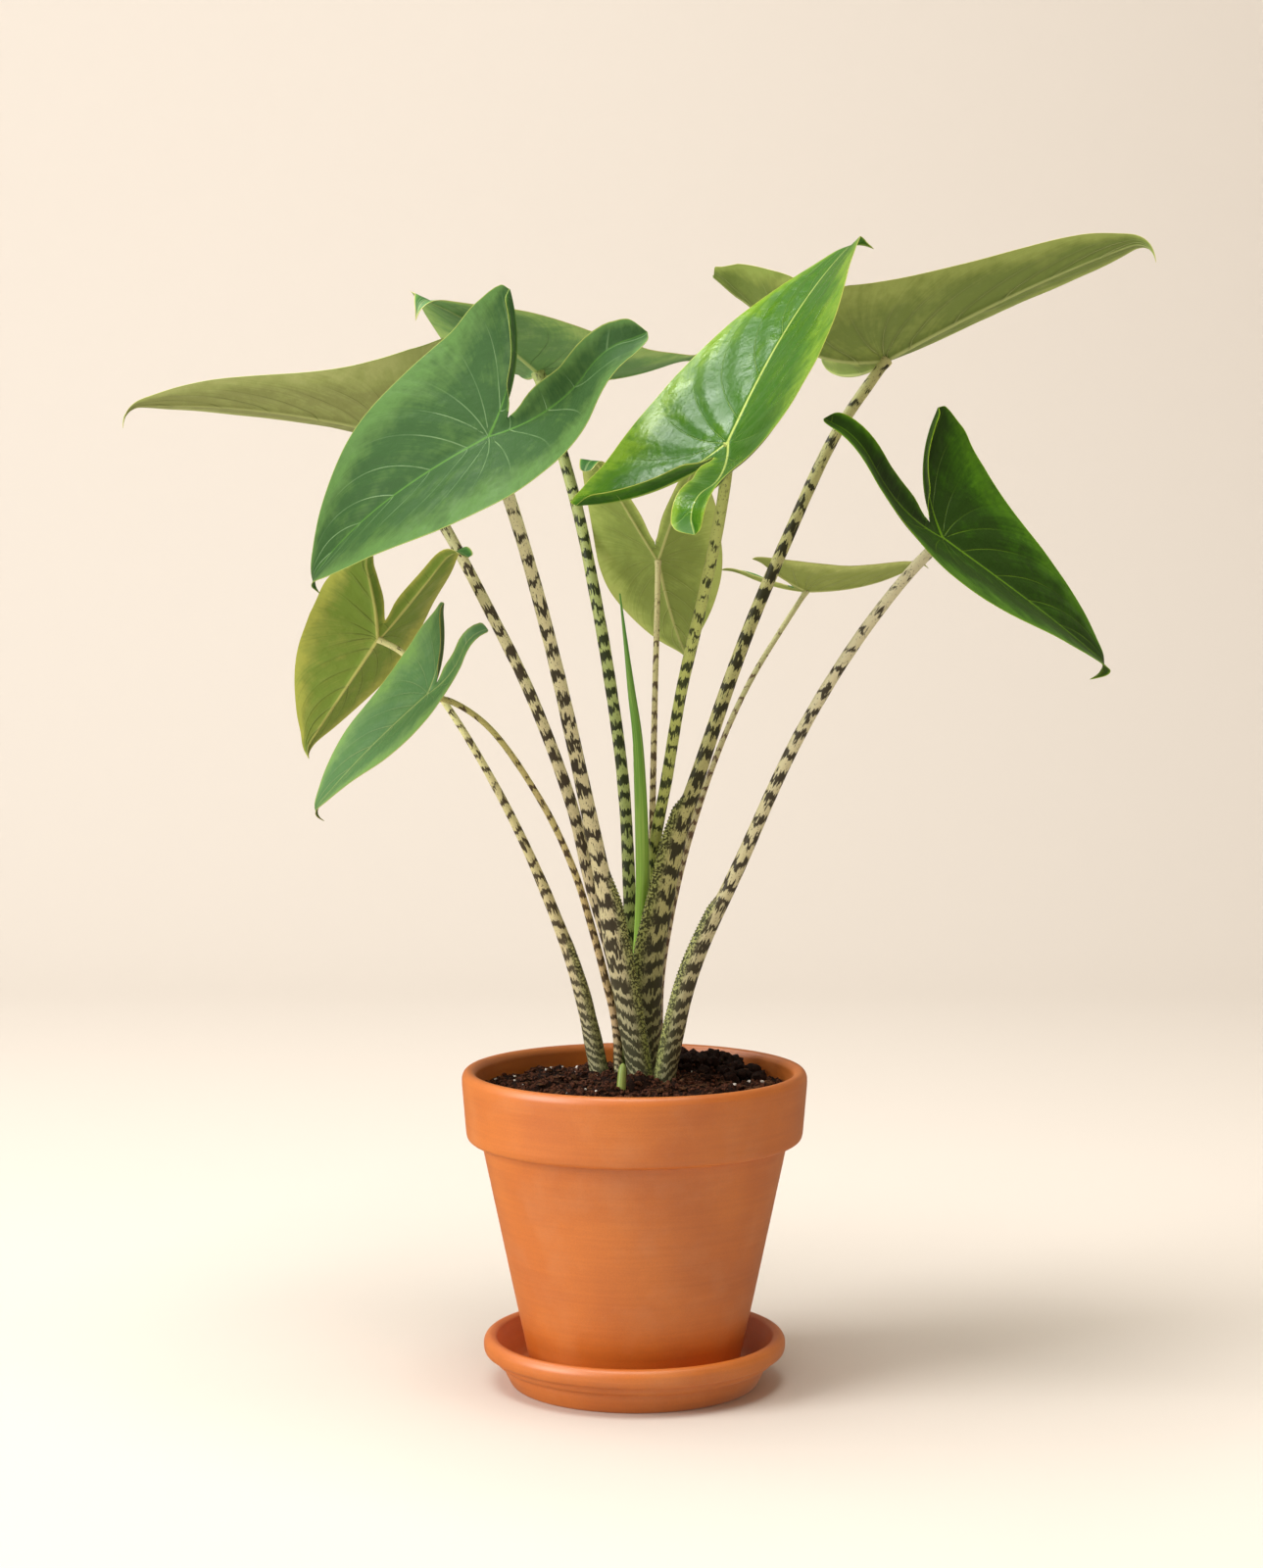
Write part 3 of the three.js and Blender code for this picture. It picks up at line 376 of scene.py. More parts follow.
def strewn(count, sizes, detail, flatness, rise, seed, near=None, narrow=0.5):
    """Random lumps strewn over the soil, or near a place (x, y, spread) on it. sizes are the
    smallest and the largest in millimetres. rise is how far a lump's middle lies above the soil,
    in halves of its own height, and narrow is the least that its width is of its length."""
    draw = np.random.default_rng(seed)
    ball, ball_faces = pebble(detail)
    points, faces = [], []
    for k in range(count):
        if near is None:
            r, turn = SOIL_R * 0.985 * math.sqrt(draw.random()), draw.random() * 2 * math.pi
            x, y = r * math.cos(turn), r * math.sin(turn)
        else:
            x, y = draw.normal(near[0], near[2]), draw.normal(near[1], near[2])
            x, y = np.array([x, y]) * min(1, SOIL_R * 0.95 / math.hypot(x, y))
        # Most lumps are small.
        size = sizes[0] + (sizes[1] - sizes[0]) * draw.random() ** 2.2
        lump = ball * (1 + 0.5 * random_height(ball * 10 + k * 31, 6, seed)[:, None])
        lump = lump * [size, size * draw.uniform(narrow, 1), size * flatness]
        turn = draw.random() * 2 * math.pi
        tilt = draw.normal(0, 0.5)
        spin = np.array([[math.cos(turn), -math.sin(turn), 0], [math.sin(turn), math.cos(turn), 0],
                         [0, 0, 1]])
        lean = np.array([[1, 0, 0], [0, math.cos(tilt), -math.sin(tilt)],
                         [0, math.sin(tilt), math.cos(tilt)]])
        if SOIL_R - math.hypot(x, y) < size:
            continue
        height = float(crumbly_z(np.array([x]), np.array([y]))[0])
        faces += (ball_faces + len(points) * len(ball)).tolist()
        points.append(lump @ (spin @ lean).T + [x, y, height + size * flatness * rise])
    return np.concatenate(points), faces


# Expanded volcanic glass: white, light and frothy, with pores under a millimetre.
perlite = finish("perlite")
froth = noise(perlite, in_mm(perlite), 1 / 0.7, 3)
shade = add(perlite, "ValToRGB", [froth], [(0.3, "#a79c8e"), (0.55, "#f0ece4")])
coat(perlite, shade, froth, 0.6, 0.25, {"Roughness": 0.8, "IOR": 1.4})

crumbs = potting_soil("peat_crumbs", "#0c0504", "#774935")
bark = potting_soil("bark_chips", "#1c0f08", "#7a5236")
for name, look, sharp, lumps in (
        ("soil_crumbs", crumbs, 35,
         dict(count=6000, sizes=(0.4, 2.0), detail=1, flatness=0.8, rise=0.35, seed=11)),
        ("soil_clods", peat, 40, dict(count=420, sizes=(1.2, 4.8), detail=2, flatness=0.85,
                                      rise=0.8, seed=12, near=(46, 56, 16))),
        ("bark_chips", bark, 35, dict(count=800, sizes=(0.9, 4.2), detail=1, flatness=0.13,
                                      rise=1.8, seed=13, narrow=0.09)),
        ("perlite_grains", perlite, 40,
         dict(count=80, sizes=(0.4, 1.6), detail=2, flatness=0.85, rise=0.6, seed=15))):
    points, faces = strewn(**lumps)
    piece(name, points, faces, [look], sharp=sharp)

# ------------------------------------------------------------------------------------------ corm
# The swollen crown under the soil that all the leaves grow from, brown and fibrous.
fibre = finish("corm_fibre")
long = add(fibre, "VectorMath", [in_mm(fibre), (1, 1, 0.15)], operation="MULTIPLY")
threads = noise(fibre, long, 0.8, 4)
shade = add(fibre, "ValToRGB", [threads], [(0.3, "#2c1d11"), (0.7, "#6d5434")])
coat(fibre, shade, threads, 0.6, 0.5, {"Roughness": 0.9})
for thing in bpy.data.objects:
    if thing.name.split(".")[0] == "corm":
        if not thing.material_slots:
            thing.data.materials.append(fibre)
        for slot in thing.material_slots:
            slot.material = fibre

# ---------------------------------------------------------------------------------------- blades
# Ten arrow-shaped blades. Each is one leathery sheet, folded in a shallow V along its midrib, with
# two long lobes behind the stem, lateral veins that sweep forward, and a tip that hooks down.
LOBE_SHARE = 0.65
# Places along one half and distances from the middle line, in shares of half the width. The stem
# is at 0, the tip at 1 and the lobe's end at -LOBE_SHARE. The notch's own places are shares of
# the lobe, and it opens at SINUS.
OUTER_MARGIN = [
    (-0.65, 0.8), (-0.64, 0.87), (-0.61, 0.905), (-0.56, 0.94), (-0.46, 0.985), (-0.29, 1.03),
    (-0.12, 1.02), (0.06, 0.99), (0.28, 0.88), (0.53, 0.66), (0.745, 0.38), (0.885, 0.13),
    (0.955, 0.03), (1, 0),
]
SINUS = 0.17
INNER_MARGIN = [(SINUS, 0), (0.23, 0.05), (0.42, 0.16), (0.68, 0.39), (0.88, 0.57), (0.955, 0.64),
                (0.985, 0.7), (1, 0.8)]
SPINE_STEPS = 240
HOOK_FROM = 0.86  # of the way to the tip
CURL_FROM = 0.78  # of the way to the lobe's end
RIB_AT = 0.8  # where a lobe's rib ends, of half the blade's width
RIB_DEPTH = 2.4  # of the midrib of a blade RIB_BLADE long
RIB_BLADE = 160
MARGIN_THICK = 0.28
MIDDLE_THICK = 0.35  # more than at the margin
VEIN_SPACING = 0.17  # of the blade's length, between one lateral vein and the next on the rib
VEIN_SWEEP = 0.22  # of the blade's length, that a vein gains towards the tip on its way out
VEIN_FAN = 1.5  # half the number of veins that fan out from the stem
GRID = 2.3  # between the rows of points
NO_MARGIN = 99  # stands for a margin too far off to matter
NUDGE = 0.3  # the step that measures how fast the veins follow each other

# Each leaf as it grew, like its solid, in millimetres and degrees. Of the blade: where its stem
# joins it, which way its tip points, its length, width and lobes, the V that it folds in, how it
# cups, how the tip arches and hooks and the lobes lift and curl, how it sways and twists on the
# way to the tip, how its margins wave, and how far the tissue puffs up between the veins. Of the
# stem: its foot, places on the way up, its radius at both ends, and how high its sheath reaches,
# how far that bulges and to which side. PLAIN holds what most blades have in common.
PLAIN = dict(cup=0, sway=0, twist=0, slim=0.03, uneven=0, spread=0.03, wave_right=(-2, 0),
             wave_left=(-2, 0), puff=0.7)
LEAVES = {
    "front_left": dict(
        blade=dict(at=(-83, -95, 570), heading=176, pitch=-28, roll=41, length=153, width=172,
                   lobes=93, fold=16, cup=-6, arch=39, hook=56, lift=59, curl=43, sway=11,
                   slim=0.02, uneven=-0.22, spread=-0.01, inner_fold=41, wave_right=(-3, -2)),
        stem=dict(foot=(4.5, 4), via=[(-3, 3, 217), (-8, 0, 244), (-14, -6, 276), (-20, -16, 313),
                                      (-32, -32, 373), (-49, -55, 451), (-65, -76, 513)],
                  r=(6.9, 3.7), sheath=145, sheath_step=32, bulge=0.95, side=(0.95, -0.3))),
    "back_left": dict(
        blade=dict(at=(-152, 45, 581), heading=188, pitch=12, roll=-20, length=172, width=144,
                   lobes=65, fold=9, cup=20, arch=23, hook=77, lift=30, curl=11, sway=-7, twist=3,
                   slim=0.31, spread=0.14, inner_fold=8, wave_right=(3, 4), wave_left=(-5, 1)),
        stem=dict(foot=(-9, 28), via=[(-10.5, 29, 240), (-28, 28, 307), (-39, 30, 352),
                                      (-64, 34, 419), (-89, 37, 470), (-114, 41, 517)],
                  r=(4.3, 3.4))),
    "back_centre": dict(
        blade=dict(at=(-61, 110, 622), heading=247, pitch=17, roll=5, length=174, width=149,
                   lobes=99, fold=12, cup=3, arch=14, hook=82, lift=38, curl=33, sway=1, twist=10,
                   slim=0.02, uneven=-0.01, spread=0.13, inner_fold=14, wave_right=(0, -1),
                   wave_left=(-3, 1)),
        stem=dict(foot=(-2, 34), via=[(-3, 43, 289), (-7, 57, 363), (-16, 70, 430), (-25, 80, 481),
                                      (-37, 92, 538)], r=(4.2, 3.6))),
    "front_right": dict(
        blade=dict(at=(54, -80, 568), heading=48, pitch=55, roll=15, length=193, width=184,
                   lobes=84, fold=9, cup=7, arch=23, hook=54, lift=45, curl=48, sway=-10, twist=3,
                   uneven=0.15, spread=0.01, inner_fold=34, wave_right=(-4, 2), wave_left=(-1, 0),
                   puff=1.15),
        stem=dict(foot=(6.5, 33), via=[(8, 34, 240), (11.5, 32, 277), (12.5, 27, 325),
                                       (19.5, 11, 368), (28, -18, 423), (39, -46, 474),
                                       (49, -68, 524)], r=(3.9, 3.4))),
    "back_right": dict(
        blade=dict(at=(157, 84, 628), heading=-6, pitch=28, roll=17, length=189, width=156,
                   lobes=91, fold=13, cup=18, arch=14, hook=93, lift=67, curl=17, sway=7,
                   twist=19, slim=0.4, uneven=0.29, spread=0.24, inner_fold=41,
                   wave_right=(-4, -5), wave_left=(-1, -1)),
        stem=dict(foot=(10, 20), via=[(10, 18, 221), (12.5, 16, 260), (18, 16, 290), (27, 19, 333),
                                      (39, 24, 370), (67, 38, 450), (95, 50, 516), (125, 66, 579)],
                  r=(7.1, 3.5), sheath=182, bulge=0.8, swell=2, side=(-0.9, -0.4))),
    "right": dict(
        blade=dict(at=(179, -60, 513), heading=9, pitch=-35, roll=-36, length=153, width=143,
                   lobes=83, fold=16, cup=2, arch=19, hook=108, lift=47, curl=38, sway=-26,
                   twist=3, slim=0.11, uneven=0.17, spread=0.1, inner_fold=37,
                   wave_right=(-4, -1), wave_left=(-3, 1)),
        stem=dict(foot=(17, -2), via=[(34, -9, 252), (63, -18, 319), (98, -34, 398),
                                      (131, -46, 454), (161, -55, 494)],
                  r=(6, 3.3), sheath=128, bulge=0.5, swell=0.8, side=(-0.95, -0.3))),
    "mid_right": dict(
        blade=dict(at=(109, 95, 483), heading=14, pitch=0, roll=10, length=86, width=77, lobes=46,
                   fold=19, cup=-9, arch=-33, hook=72, lift=23, curl=24, twist=6, uneven=-0.01,
                   spread=0.09, inner_fold=23, wave_right=(-1, 0), wave_left=(-3, -2)),
        stem=dict(foot=(15, 32), via=[(16, 32, 240), (22.5, 38, 282), (34.5, 50, 330),
                                      (54, 64, 386), (73, 76, 426), (93, 88, 458)], r=(2.8, 1.7))),
    "centre": dict(
        blade=dict(at=(15, 85, 502), heading=76, pitch=-49, roll=4, length=99, width=81, lobes=83,
                   fold=10, cup=-1, arch=-20, hook=15, lift=-10, curl=67, sway=3, twist=11,
                   slim=-0.01, uneven=-0.06, spread=0.02, inner_fold=9, wave_right=(0, 0),
                   wave_left=(-3, -1)),
        stem=dict(foot=(4, 42), via=[(11, 46, 265), (11, 55, 326), (12, 63, 380), (13, 71, 423),
                                     (14, 78, 460)], r=(2.9, 1.8))),
    "lower_left": dict(
        blade=dict(at=(-157, 25, 454), heading=128, pitch=-41, roll=-6, length=105, width=92,
                   lobes=66, fold=22, cup=4, arch=15, hook=76, lift=-1, curl=53, sway=-12,
                   twist=-9, slim=0.01, uneven=0.07, spread=-0.12, inner_fold=37,
                   wave_right=(-2, 3), wave_left=(-2, -3)),
        stem=dict(foot=(-20, 22), via=[(-34, 25, 240), (-52, 26, 291), (-79, 25, 351),
                                       (-116, 25, 414), (-141, 25, 444)],
                  r=(6, 1.9), sheath=98, bulge=0.3, side=(0.7, -0.7))),
    "small_left": dict(
        blade=dict(at=(-121, -55, 422), heading=173, pitch=-41, roll=28, length=108, width=101,
                   lobes=52, fold=14, cup=-7, arch=14, hook=88, lift=47, curl=51, sway=7, twist=2,
                   uneven=-0.09, spread=-0.01, inner_fold=31, wave_right=(-3, 1),
                   wave_left=(-3, 1)),
        stem=dict(foot=(-9, 9), via=[(-11.5, 12, 218), (-17, 9, 243), (-25, 2, 275),
                                     (-37, -19, 317), (-55, -32, 357), (-86, -48, 403),
                                     (-107, -54, 418)], r=(2.9, 1.8))),
}


def through(knots, at):
    """Smooth values through (place, value) knots, by Hermite pieces."""
    places, values = np.array(knots, float).T
    last = len(places) - 1
    low = np.maximum(np.arange(last + 1) - 1, 0)
    high = np.minimum(np.arange(last + 1) + 1, last)
    slopes = (values[high] - values[low]) / (places[high] - places[low])
    k = np.clip(np.searchsorted(places, at, side="left") - 1, 0, last - 1)
    step = places[k + 1] - places[k]
    t = (at - places[k]) / step
    rise = t * t * (3 - 2 * t)
    return (values[k] * (1 - rise) + values[k + 1] * rise
            + step * t * (1 - t) * ((1 - t) * slopes[k] - t * slopes[k + 1]))


def blade_frame(leaf):
    """Unit vectors of the blade at its stem: to its right, to its tip, out of its upper face."""
    h, p, r = np.radians([leaf["heading"], leaf["pitch"], leaf["roll"]])
    tipward = np.array([math.cos(h) * math.cos(p), math.sin(h) * math.cos(p), math.sin(p)])
    level = np.array([math.sin(h), -math.cos(h), 0])
    up = np.cross(level, tipward)
    sideways = level * math.cos(r) + up * math.sin(r)
    upper = up * math.cos(r) - level * math.sin(r)
    return sideways, tipward, upper


def spine(leaf):
    """Centre line of the bent blade, and the directions across it and out of it, for every y."""
    # It runs on past the lobes, because one of an uneven pair reaches further back.
    back = leaf["lobes"] * 1.25
    y = np.linspace(-back, leaf["length"], SPINE_STEPS + 1)
    ahead = np.clip(y / leaf["length"], 0, 1)
    behind = np.clip(-y / leaf["lobes"], 0, 1.2)
    curl_at = np.clip((behind - CURL_FROM) / (1 - CURL_FROM), 0, 1.2) ** 2
    hook_at = smoothstep((ahead - HOOK_FROM) / (1 - HOOK_FROM))
    dip = np.radians(-leaf["arch"] * ahead ** 1.3 - leaf["hook"] * hook_at
                     - leaf["lift"] * behind ** 1.2 + leaf["curl"] * curl_at)
    swing = np.radians(leaf["sway"] * y / leaf["length"])
    turn = np.radians(leaf["twist"] * y / leaf["length"])[:, None]
    zero = np.zeros_like(y)
    along = np.stack([np.sin(swing) * np.cos(dip), np.cos(swing) * np.cos(dip), np.sin(dip)], 1)
    flat = np.stack([np.cos(swing), -np.sin(swing), zero], 1)
    up = np.cross(flat, along)
    across = flat * np.cos(turn) + up * np.sin(turn)
    out = up * np.cos(turn) - flat * np.sin(turn)
    step = y[1] - y[0]
    centre = np.concatenate([np.zeros((1, 3)), np.cumsum((along[1:] + along[:-1]) * step / 2, 0)])
    centre -= [np.interp(0, y, centre[:, i]) for i in range(3)]
    return y, centre, across, out


def on_blade(leaf, side, x, y, inside):
    """Flat points of the blade, in millimetres, laid onto the bent blade where it hangs."""
    rows, *curves = spine(leaf)
    centre, across, out = (np.stack([np.interp(y, rows, c[:, i]) for i in range(3)], -1)
                           for c in curves)
    half = leaf["width"] / 2
    steep = np.radians(leaf["fold"] + leaf["cup"] * x / half / 2)
    waves = np.where(side[..., None] > 0, leaf["wave_right"], leaf["wave_left"])
    phase = 2 * np.pi * y / leaf["length"]
    wave = (x / half) ** 2 * (waves[..., 0] * np.sin(phase) + waves[..., 1] * np.cos(phase))
    rise = x * np.sin(steep) + wave + inside * math.tan(math.radians(leaf["inner_fold"]))
    local = centre + across * (side * x * np.cos(steep))[..., None] + out * rise[..., None]
    return local @ np.stack(blade_frame(leaf)) + np.array(leaf["at"])


def across_blade(leaf, side, y):
    """Where the rib, the outer margin and the notch's margin lie at y, in mm from the middle."""
    half = leaf["width"] / 2
    lobes = leaf["lobes"] * (1 + leaf["uneven"] * side)
    f = np.clip(y / leaf["length"], 0, 1)
    t = np.clip(-y / lobes, 0, 1)
    shift = leaf["spread"] * half * t
    outline = through(OUTER_MARGIN, np.where(y > 0, f, -t * LOBE_SHARE)) * half
    edge = np.where(y > 0, outline * (1 - leaf["slim"] * np.sin(np.pi * f)), outline + shift)
    notch = np.where(t <= SINUS, 0, through(INNER_MARGIN, np.maximum(t, SINUS)) * half + shift)
    return RIB_AT * t * half + shift, edge, notch


def vein_order(leaf, side, x, y):
    """A number that is whole along each lateral vein. Three veins fan out from the stem, the
    others leave the ribs one after the other, and all sweep towards the tip."""
    rib, edge, _ = across_blade(leaf, side, y)
    out = np.clip((x - rib) / np.maximum(edge - rib, 1), 0, 1)
    spacing = VEIN_SPACING * leaf["length"]
    y = y - VEIN_SWEEP * leaf["length"] * out ** 1.8 + 0.5 * np.maximum(rib - x, 0)
    at_rib = (1 - out) * spacing
    at_margin = out * 1.3 * spacing
    ahead = (y + at_rib * VEIN_FAN) / (at_rib + at_margin)
    behind = (y - at_rib * VEIN_FAN) / (at_rib + at_margin)
    fan = np.clip(y / np.maximum(at_margin, 1e-6), -VEIN_FAN, VEIN_FAN)
    order = np.where(ahead > VEIN_FAN, ahead, np.where(behind < -VEIN_FAN, behind, fan))
    return order + 0.09 * random_height(np.stack([x, y, side * 50 + 0 * x], -1), 45, 7)


def flat_grid(leaf, side):
    """One half's rows of flat points, from the tip back past the stem to the lobe's end."""
    half = leaf["width"] / 2
    lobes = leaf["lobes"] * (1 + leaf["uneven"] * side)
    front_rows = max(int(leaf["length"] / GRID), 24)
    rear_rows = max(int(leaf["lobes"] / GRID), 16)
    outer = np.linspace(0, 1, max(int(half / GRID), 16)) ** 1.35
    inner = np.linspace(1, 0, 10)[:-1]
    y = leaf["length"] * (1 - np.linspace(0, 1, front_rows) ** 1.15)[:, None]
    edge = across_blade(leaf, side, y)[1]
    x = outer * edge
    front = dict(x=x, y=y + 0 * x, inside=0 * x, rib=x, edge=edge - x,
                 share=y / leaf["length"] + 0 * x)
    # The rows lie closer towards the lobe's blunt end.
    t = np.sin(np.linspace(0, np.pi / 2, rear_rows))[:, None]
    rib, edge, notch = across_blade(leaf, side, -t * lobes)
    x_outer = rib + outer * (edge - rib)
    x_inner = rib + inner * (notch - rib)
    firm = np.minimum(3 * t, 1)
    # Between the two halves the rows meet on the middle line, whatever each lobe's own length.
    meet = inner * (1 - smoothstep((t - SINUS) / 0.25))
    y_inner = -t * (lobes * (1 - meet) + leaf["lobes"] * meet)
    # In front of the notch the halves are joined, and so have no margin between them.
    inside_edge = np.where(t <= SINUS, NO_MARGIN, x_inner - notch)
    rear = dict(
        x=np.hstack([x_inner, x_outer]), y=np.hstack([y_inner, -t * lobes + 0 * x_outer]),
        inside=np.hstack([(rib - x_inner) * firm, 0 * x_outer]),
        rib=np.hstack([rib - x_inner, x_outer - rib]),
        edge=np.hstack([inside_edge, edge - x_outer]),
        share=t + np.zeros((1, len(inner) + len(outer))))
    return front, rear


def point_normals(points, faces):
    """Unit normals at the points of a sheet."""
    normals = np.zeros_like(points)
    for size in (3, 4):
        loops = np.array([f for f in faces if len(f) == size])
        if len(loops) == 0:
            continue
        a, b, c = points[loops[:, 0]], points[loops[:, 1]], points[loops[:, 2]]
        area = np.cross(b - a, c - a)
        if size == 4:
            area = area + np.cross(c - a, points[loops[:, 3]] - a)
        for corner in loops.T:
            np.add.at(normals, corner, area)
    return normals / np.maximum(np.linalg.norm(normals, axis=1), 1e-12)[:, None]


def blade_mesh(leaf):
    """The blade's points, faces, which finish each face has, and the maps its finish reads."""
    sheets, quads, count = [], [], 0
    for side in (1, -1):
        for part in flat_grid(leaf, side):
            rows, columns = part["x"].shape
            index = count + np.arange(rows * columns).reshape(rows, columns)
            corners = [index[:-1, :-1], index[1:, :-1], index[1:, 1:], index[:-1, 1:]]
            loop = np.stack([c.ravel() for c in corners], 1)
            quads.append(loop if side > 0 else loop[:, ::-1])
            sheets.append({name: grid.ravel() for name, grid in part.items()})
            sheets[-1]["side"] = np.full(rows * columns, float(side))
            count += rows * columns
    flat = {name: np.concatenate([s[name] for s in sheets]) for name in sheets[0]}
    quads = np.concatenate(quads)
    # The parts share the points where they meet.
    key = np.round(np.stack([flat["side"] * flat["x"], flat["y"]], 1), 3) + 0.0
    _, first, merged = np.unique(key, axis=0, return_index=True, return_inverse=True)
    merged = merged.ravel()
    flat = {name: values[first] for name, values in flat.items()}
    faces = []
    for quad in merged[quads]:
        loop = [v for i, v in enumerate(quad) if v != quad[i - 1]]
        if len(set(loop)) == len(loop) and len(loop) > 2:
            faces.append([int(v) for v in loop])

    x, y, side = flat["x"], flat["y"], flat["side"]
    order, spacing = np.zeros_like(x), np.zeros_like(x)
    for half_side in (1, -1):
        on = side == half_side
        order[on] = vein_order(leaf, half_side, x[on], y[on])
        # The order changes by one from vein to vein, so its slope gives their spacing.
        steps = [(vein_order(leaf, half_side, x[on] + dx, y[on] + dy)
                  - vein_order(leaf, half_side, x[on] - dx, y[on] - dy)) / (2 * NUDGE)
                 for dx, dy in ((NUDGE, 0), (0, NUDGE))]
        spacing[on] = 1 / np.maximum(np.hypot(*steps), 0.02)
    mid = on_blade(leaf, side, x, y, flat["inside"])
    normals = point_normals(mid, faces)
    clear = smoothstep(flat["edge"] / 9) * smoothstep(flat["rib"] / 10) * smoothstep(spacing / 12)
    between = 0.5 - 0.5 * np.cos(2 * np.pi * order)
    ripple = random_height(np.stack([x * side, y, side * 9], 1), 22, int(leaf["length"]))
    mid = mid + normals * (leaf["puff"] * clear * (between - 0.4) * (1 - 0.6 * flat["share"])
                           + 0.55 * ripple * smoothstep(flat["rib"] / 12))[:, None]
    rib_width = 0.6 + 1.5 * (1 - flat["share"]) ** 0.8 * leaf["length"] / RIB_BLADE
    on_rib = np.exp(-(flat["rib"] / rib_width) ** 2)
    depth = RIB_DEPTH * leaf["length"] / RIB_BLADE * (1 - flat["share"]) ** 0.8
    thick = MARGIN_THICK + MIDDLE_THICK * smoothstep(flat["edge"] / 4)
    upper = mid + normals * (0.9 * on_rib * (1 - flat["share"]))[:, None]
    lower = mid - normals * (thick + depth * on_rib)[:, None]
    n = len(mid)
    edges = {(a, b) for face in faces for a, b in zip(face, face[1:] + face[:1])}
    walls = [[b, a, n + a, n + b] for a, b in edges if (b, a) not in edges]
    body = faces + [[n + v for v in reversed(face)] for face in faces] + walls
    look = [0] * len(faces) + [1] * len(faces) + [0] * len(walls)
    veins = np.stack([side * flat["rib"], order, spacing], 1)
    margins = np.stack([flat["rib"] / rib_width, flat["edge"], flat["share"]], 1)
    maps = {"veins": np.concatenate([veins, veins]), "margins": np.concatenate([margins, margins])}
    return np.concatenate([upper, lower]), body, look, maps


def stored(made, name):
    """The three numbers that the mesh stores under this name."""
    numbers = add(made, "Attribute", attribute_name=name).outputs["Vector"]
    return add(made, "SeparateXYZ", [numbers]).outputs


def leaf_skin(name, shades, vein, vein_side_shade, rib_shade, margin, gloss, raised, clarity, shine=0.3):
    """Waxy leaf skin. shades are the green of the middle, of most of the blade, and beside the
    margin, where the thinner tissue is lighter, partly its own colour and partly painted glow of
    light shining through it. vein colours a lateral vein's thin core, and the colour after it
    paints shade on the tissue beside it, both as clear as clarity says; raised is the veins'
    height in millimetres, below zero where they are sunk. shine is the strength of the wax's
    gleam and gloss its roughness."""
    made = finish(name)
    out, order, spacing = stored(made, "veins")
    rib, edge, share = stored(made, "margins")
    mm = in_mm(made)
    # Millimetres to the nearest lateral vein.
    cycle = calc(made, "ADD", order, 0.5)
    part = calc(made, "FRACT", cycle)
    part = calc(made, "SUBTRACT", part, 0.5)
    part = calc(made, "ABSOLUTE", part)
    off_vein = calc(made, "MULTIPLY", part, spacing)
    # Veins fade on their way from the rib to the margin.
    out_size = calc(made, "ABSOLUTE", out)
    away = calc(made, "ADD", out_size, edge)
    inner = calc(made, "DIVIDE", edge, away)
    clear = eased(made, inner, 0.15, 0.85)
    core = eased(made, off_vein, 0.15, 0.6, 1.0, 0.0)
    core = calc(made, "MULTIPLY", core, clear)
    broken = noise(made, mm, 1 / 18, 1)
    unbroken = add(made, "MapRange", [broken, 0.35, 0.65, 0.35, 1.0])
    core = calc(made, "MULTIPLY", core, unbroken)
    # The tissue up to about 3 mm beside each lateral vein gets painted shade.
    beside = add(made, "MapRange", [off_vein, 0.3, 3.2, 1.0, 0.0],
                 interpolation_type="SMOOTHERSTEP")
    beside = calc(made, "MULTIPLY", beside, clear)
    on_rib = eased(made, rib, 0.35, 0.8, 1.0, 0.0)
    # The finest veins run beside the lateral ones as long faint streaks, 2 to 3 mm apart.
    outward = calc(made, "MULTIPLY", out, 1 / 30)
    along = calc(made, "MULTIPLY", order, 10.0)
    beat = add(made, "CombineXYZ", [outward, along])
    streaks = noise(made, beat, 1.0, 2.0, 0.55)
    broad = noise(made, mm, 1 / 20, 4, 0.55)
    cells = noise(made, mm, 1 / 1.3, 2, 0.6)
    puckers = noise(made, mm, 1 / 6, 2)
    # From the deep green of the middle to the lighter green beside the margin: partly the
    # thinner tissue's own colour, partly painted glow of light shining through it.
    tone = eased(made, inner, 0.0, 0.55)
    for pattern, weight, level in (
            (broad, 1.7, -0.85), (puckers, -0.7, 0.35), (streaks, -0.8, 0.4)):
        tone = calc(made, "ADD", tone, level)
        tone = calc(made, "MULTIPLY_ADD", pattern, weight, tone)
    shade = add(made, "ValToRGB", [tone], [(0.0, shades[2]), (0.5, shades[1]), (1.0, shades[0])])
    # Over it lie the painted shade beside the veins, the veins, the ribs and the margin.
    vein_side_shading = calc(made, "MULTIPLY", beside, clarity * 0.6)
    veining = calc(made, "MULTIPLY", core, clarity)
    fading = add(made, "MapRange", [share, 0.1, 1.0, 0.95, 0.5])
    ribbing = calc(made, "MULTIPLY", on_rib, fading)
    rim = add(made, "MapRange", [edge, 0.15, 0.8, 0.8, 0.0])
    for cover, over in ((vein_side_shading, vein_side_shade), (veining, vein), (ribbing, rib_shade), (rim, margin)):
        shade = blend(made, cover, shade, over)
    relief = calc(made, "MULTIPLY", streaks, 0.02)
    for rise, weight in ((core, raised), (puckers, 0.6), (cells, 0.05)):
        relief = calc(made, "MULTIPLY_ADD", rise, weight, relief)
    wax = add(made, "MapRange", [broad, 0.3, 0.7, gloss, gloss + 0.2])
    return coat(made, shade, relief, 1.0, 1,
                {"Roughness": wax, "IOR": 1.45, "Specular IOR Level": shine})
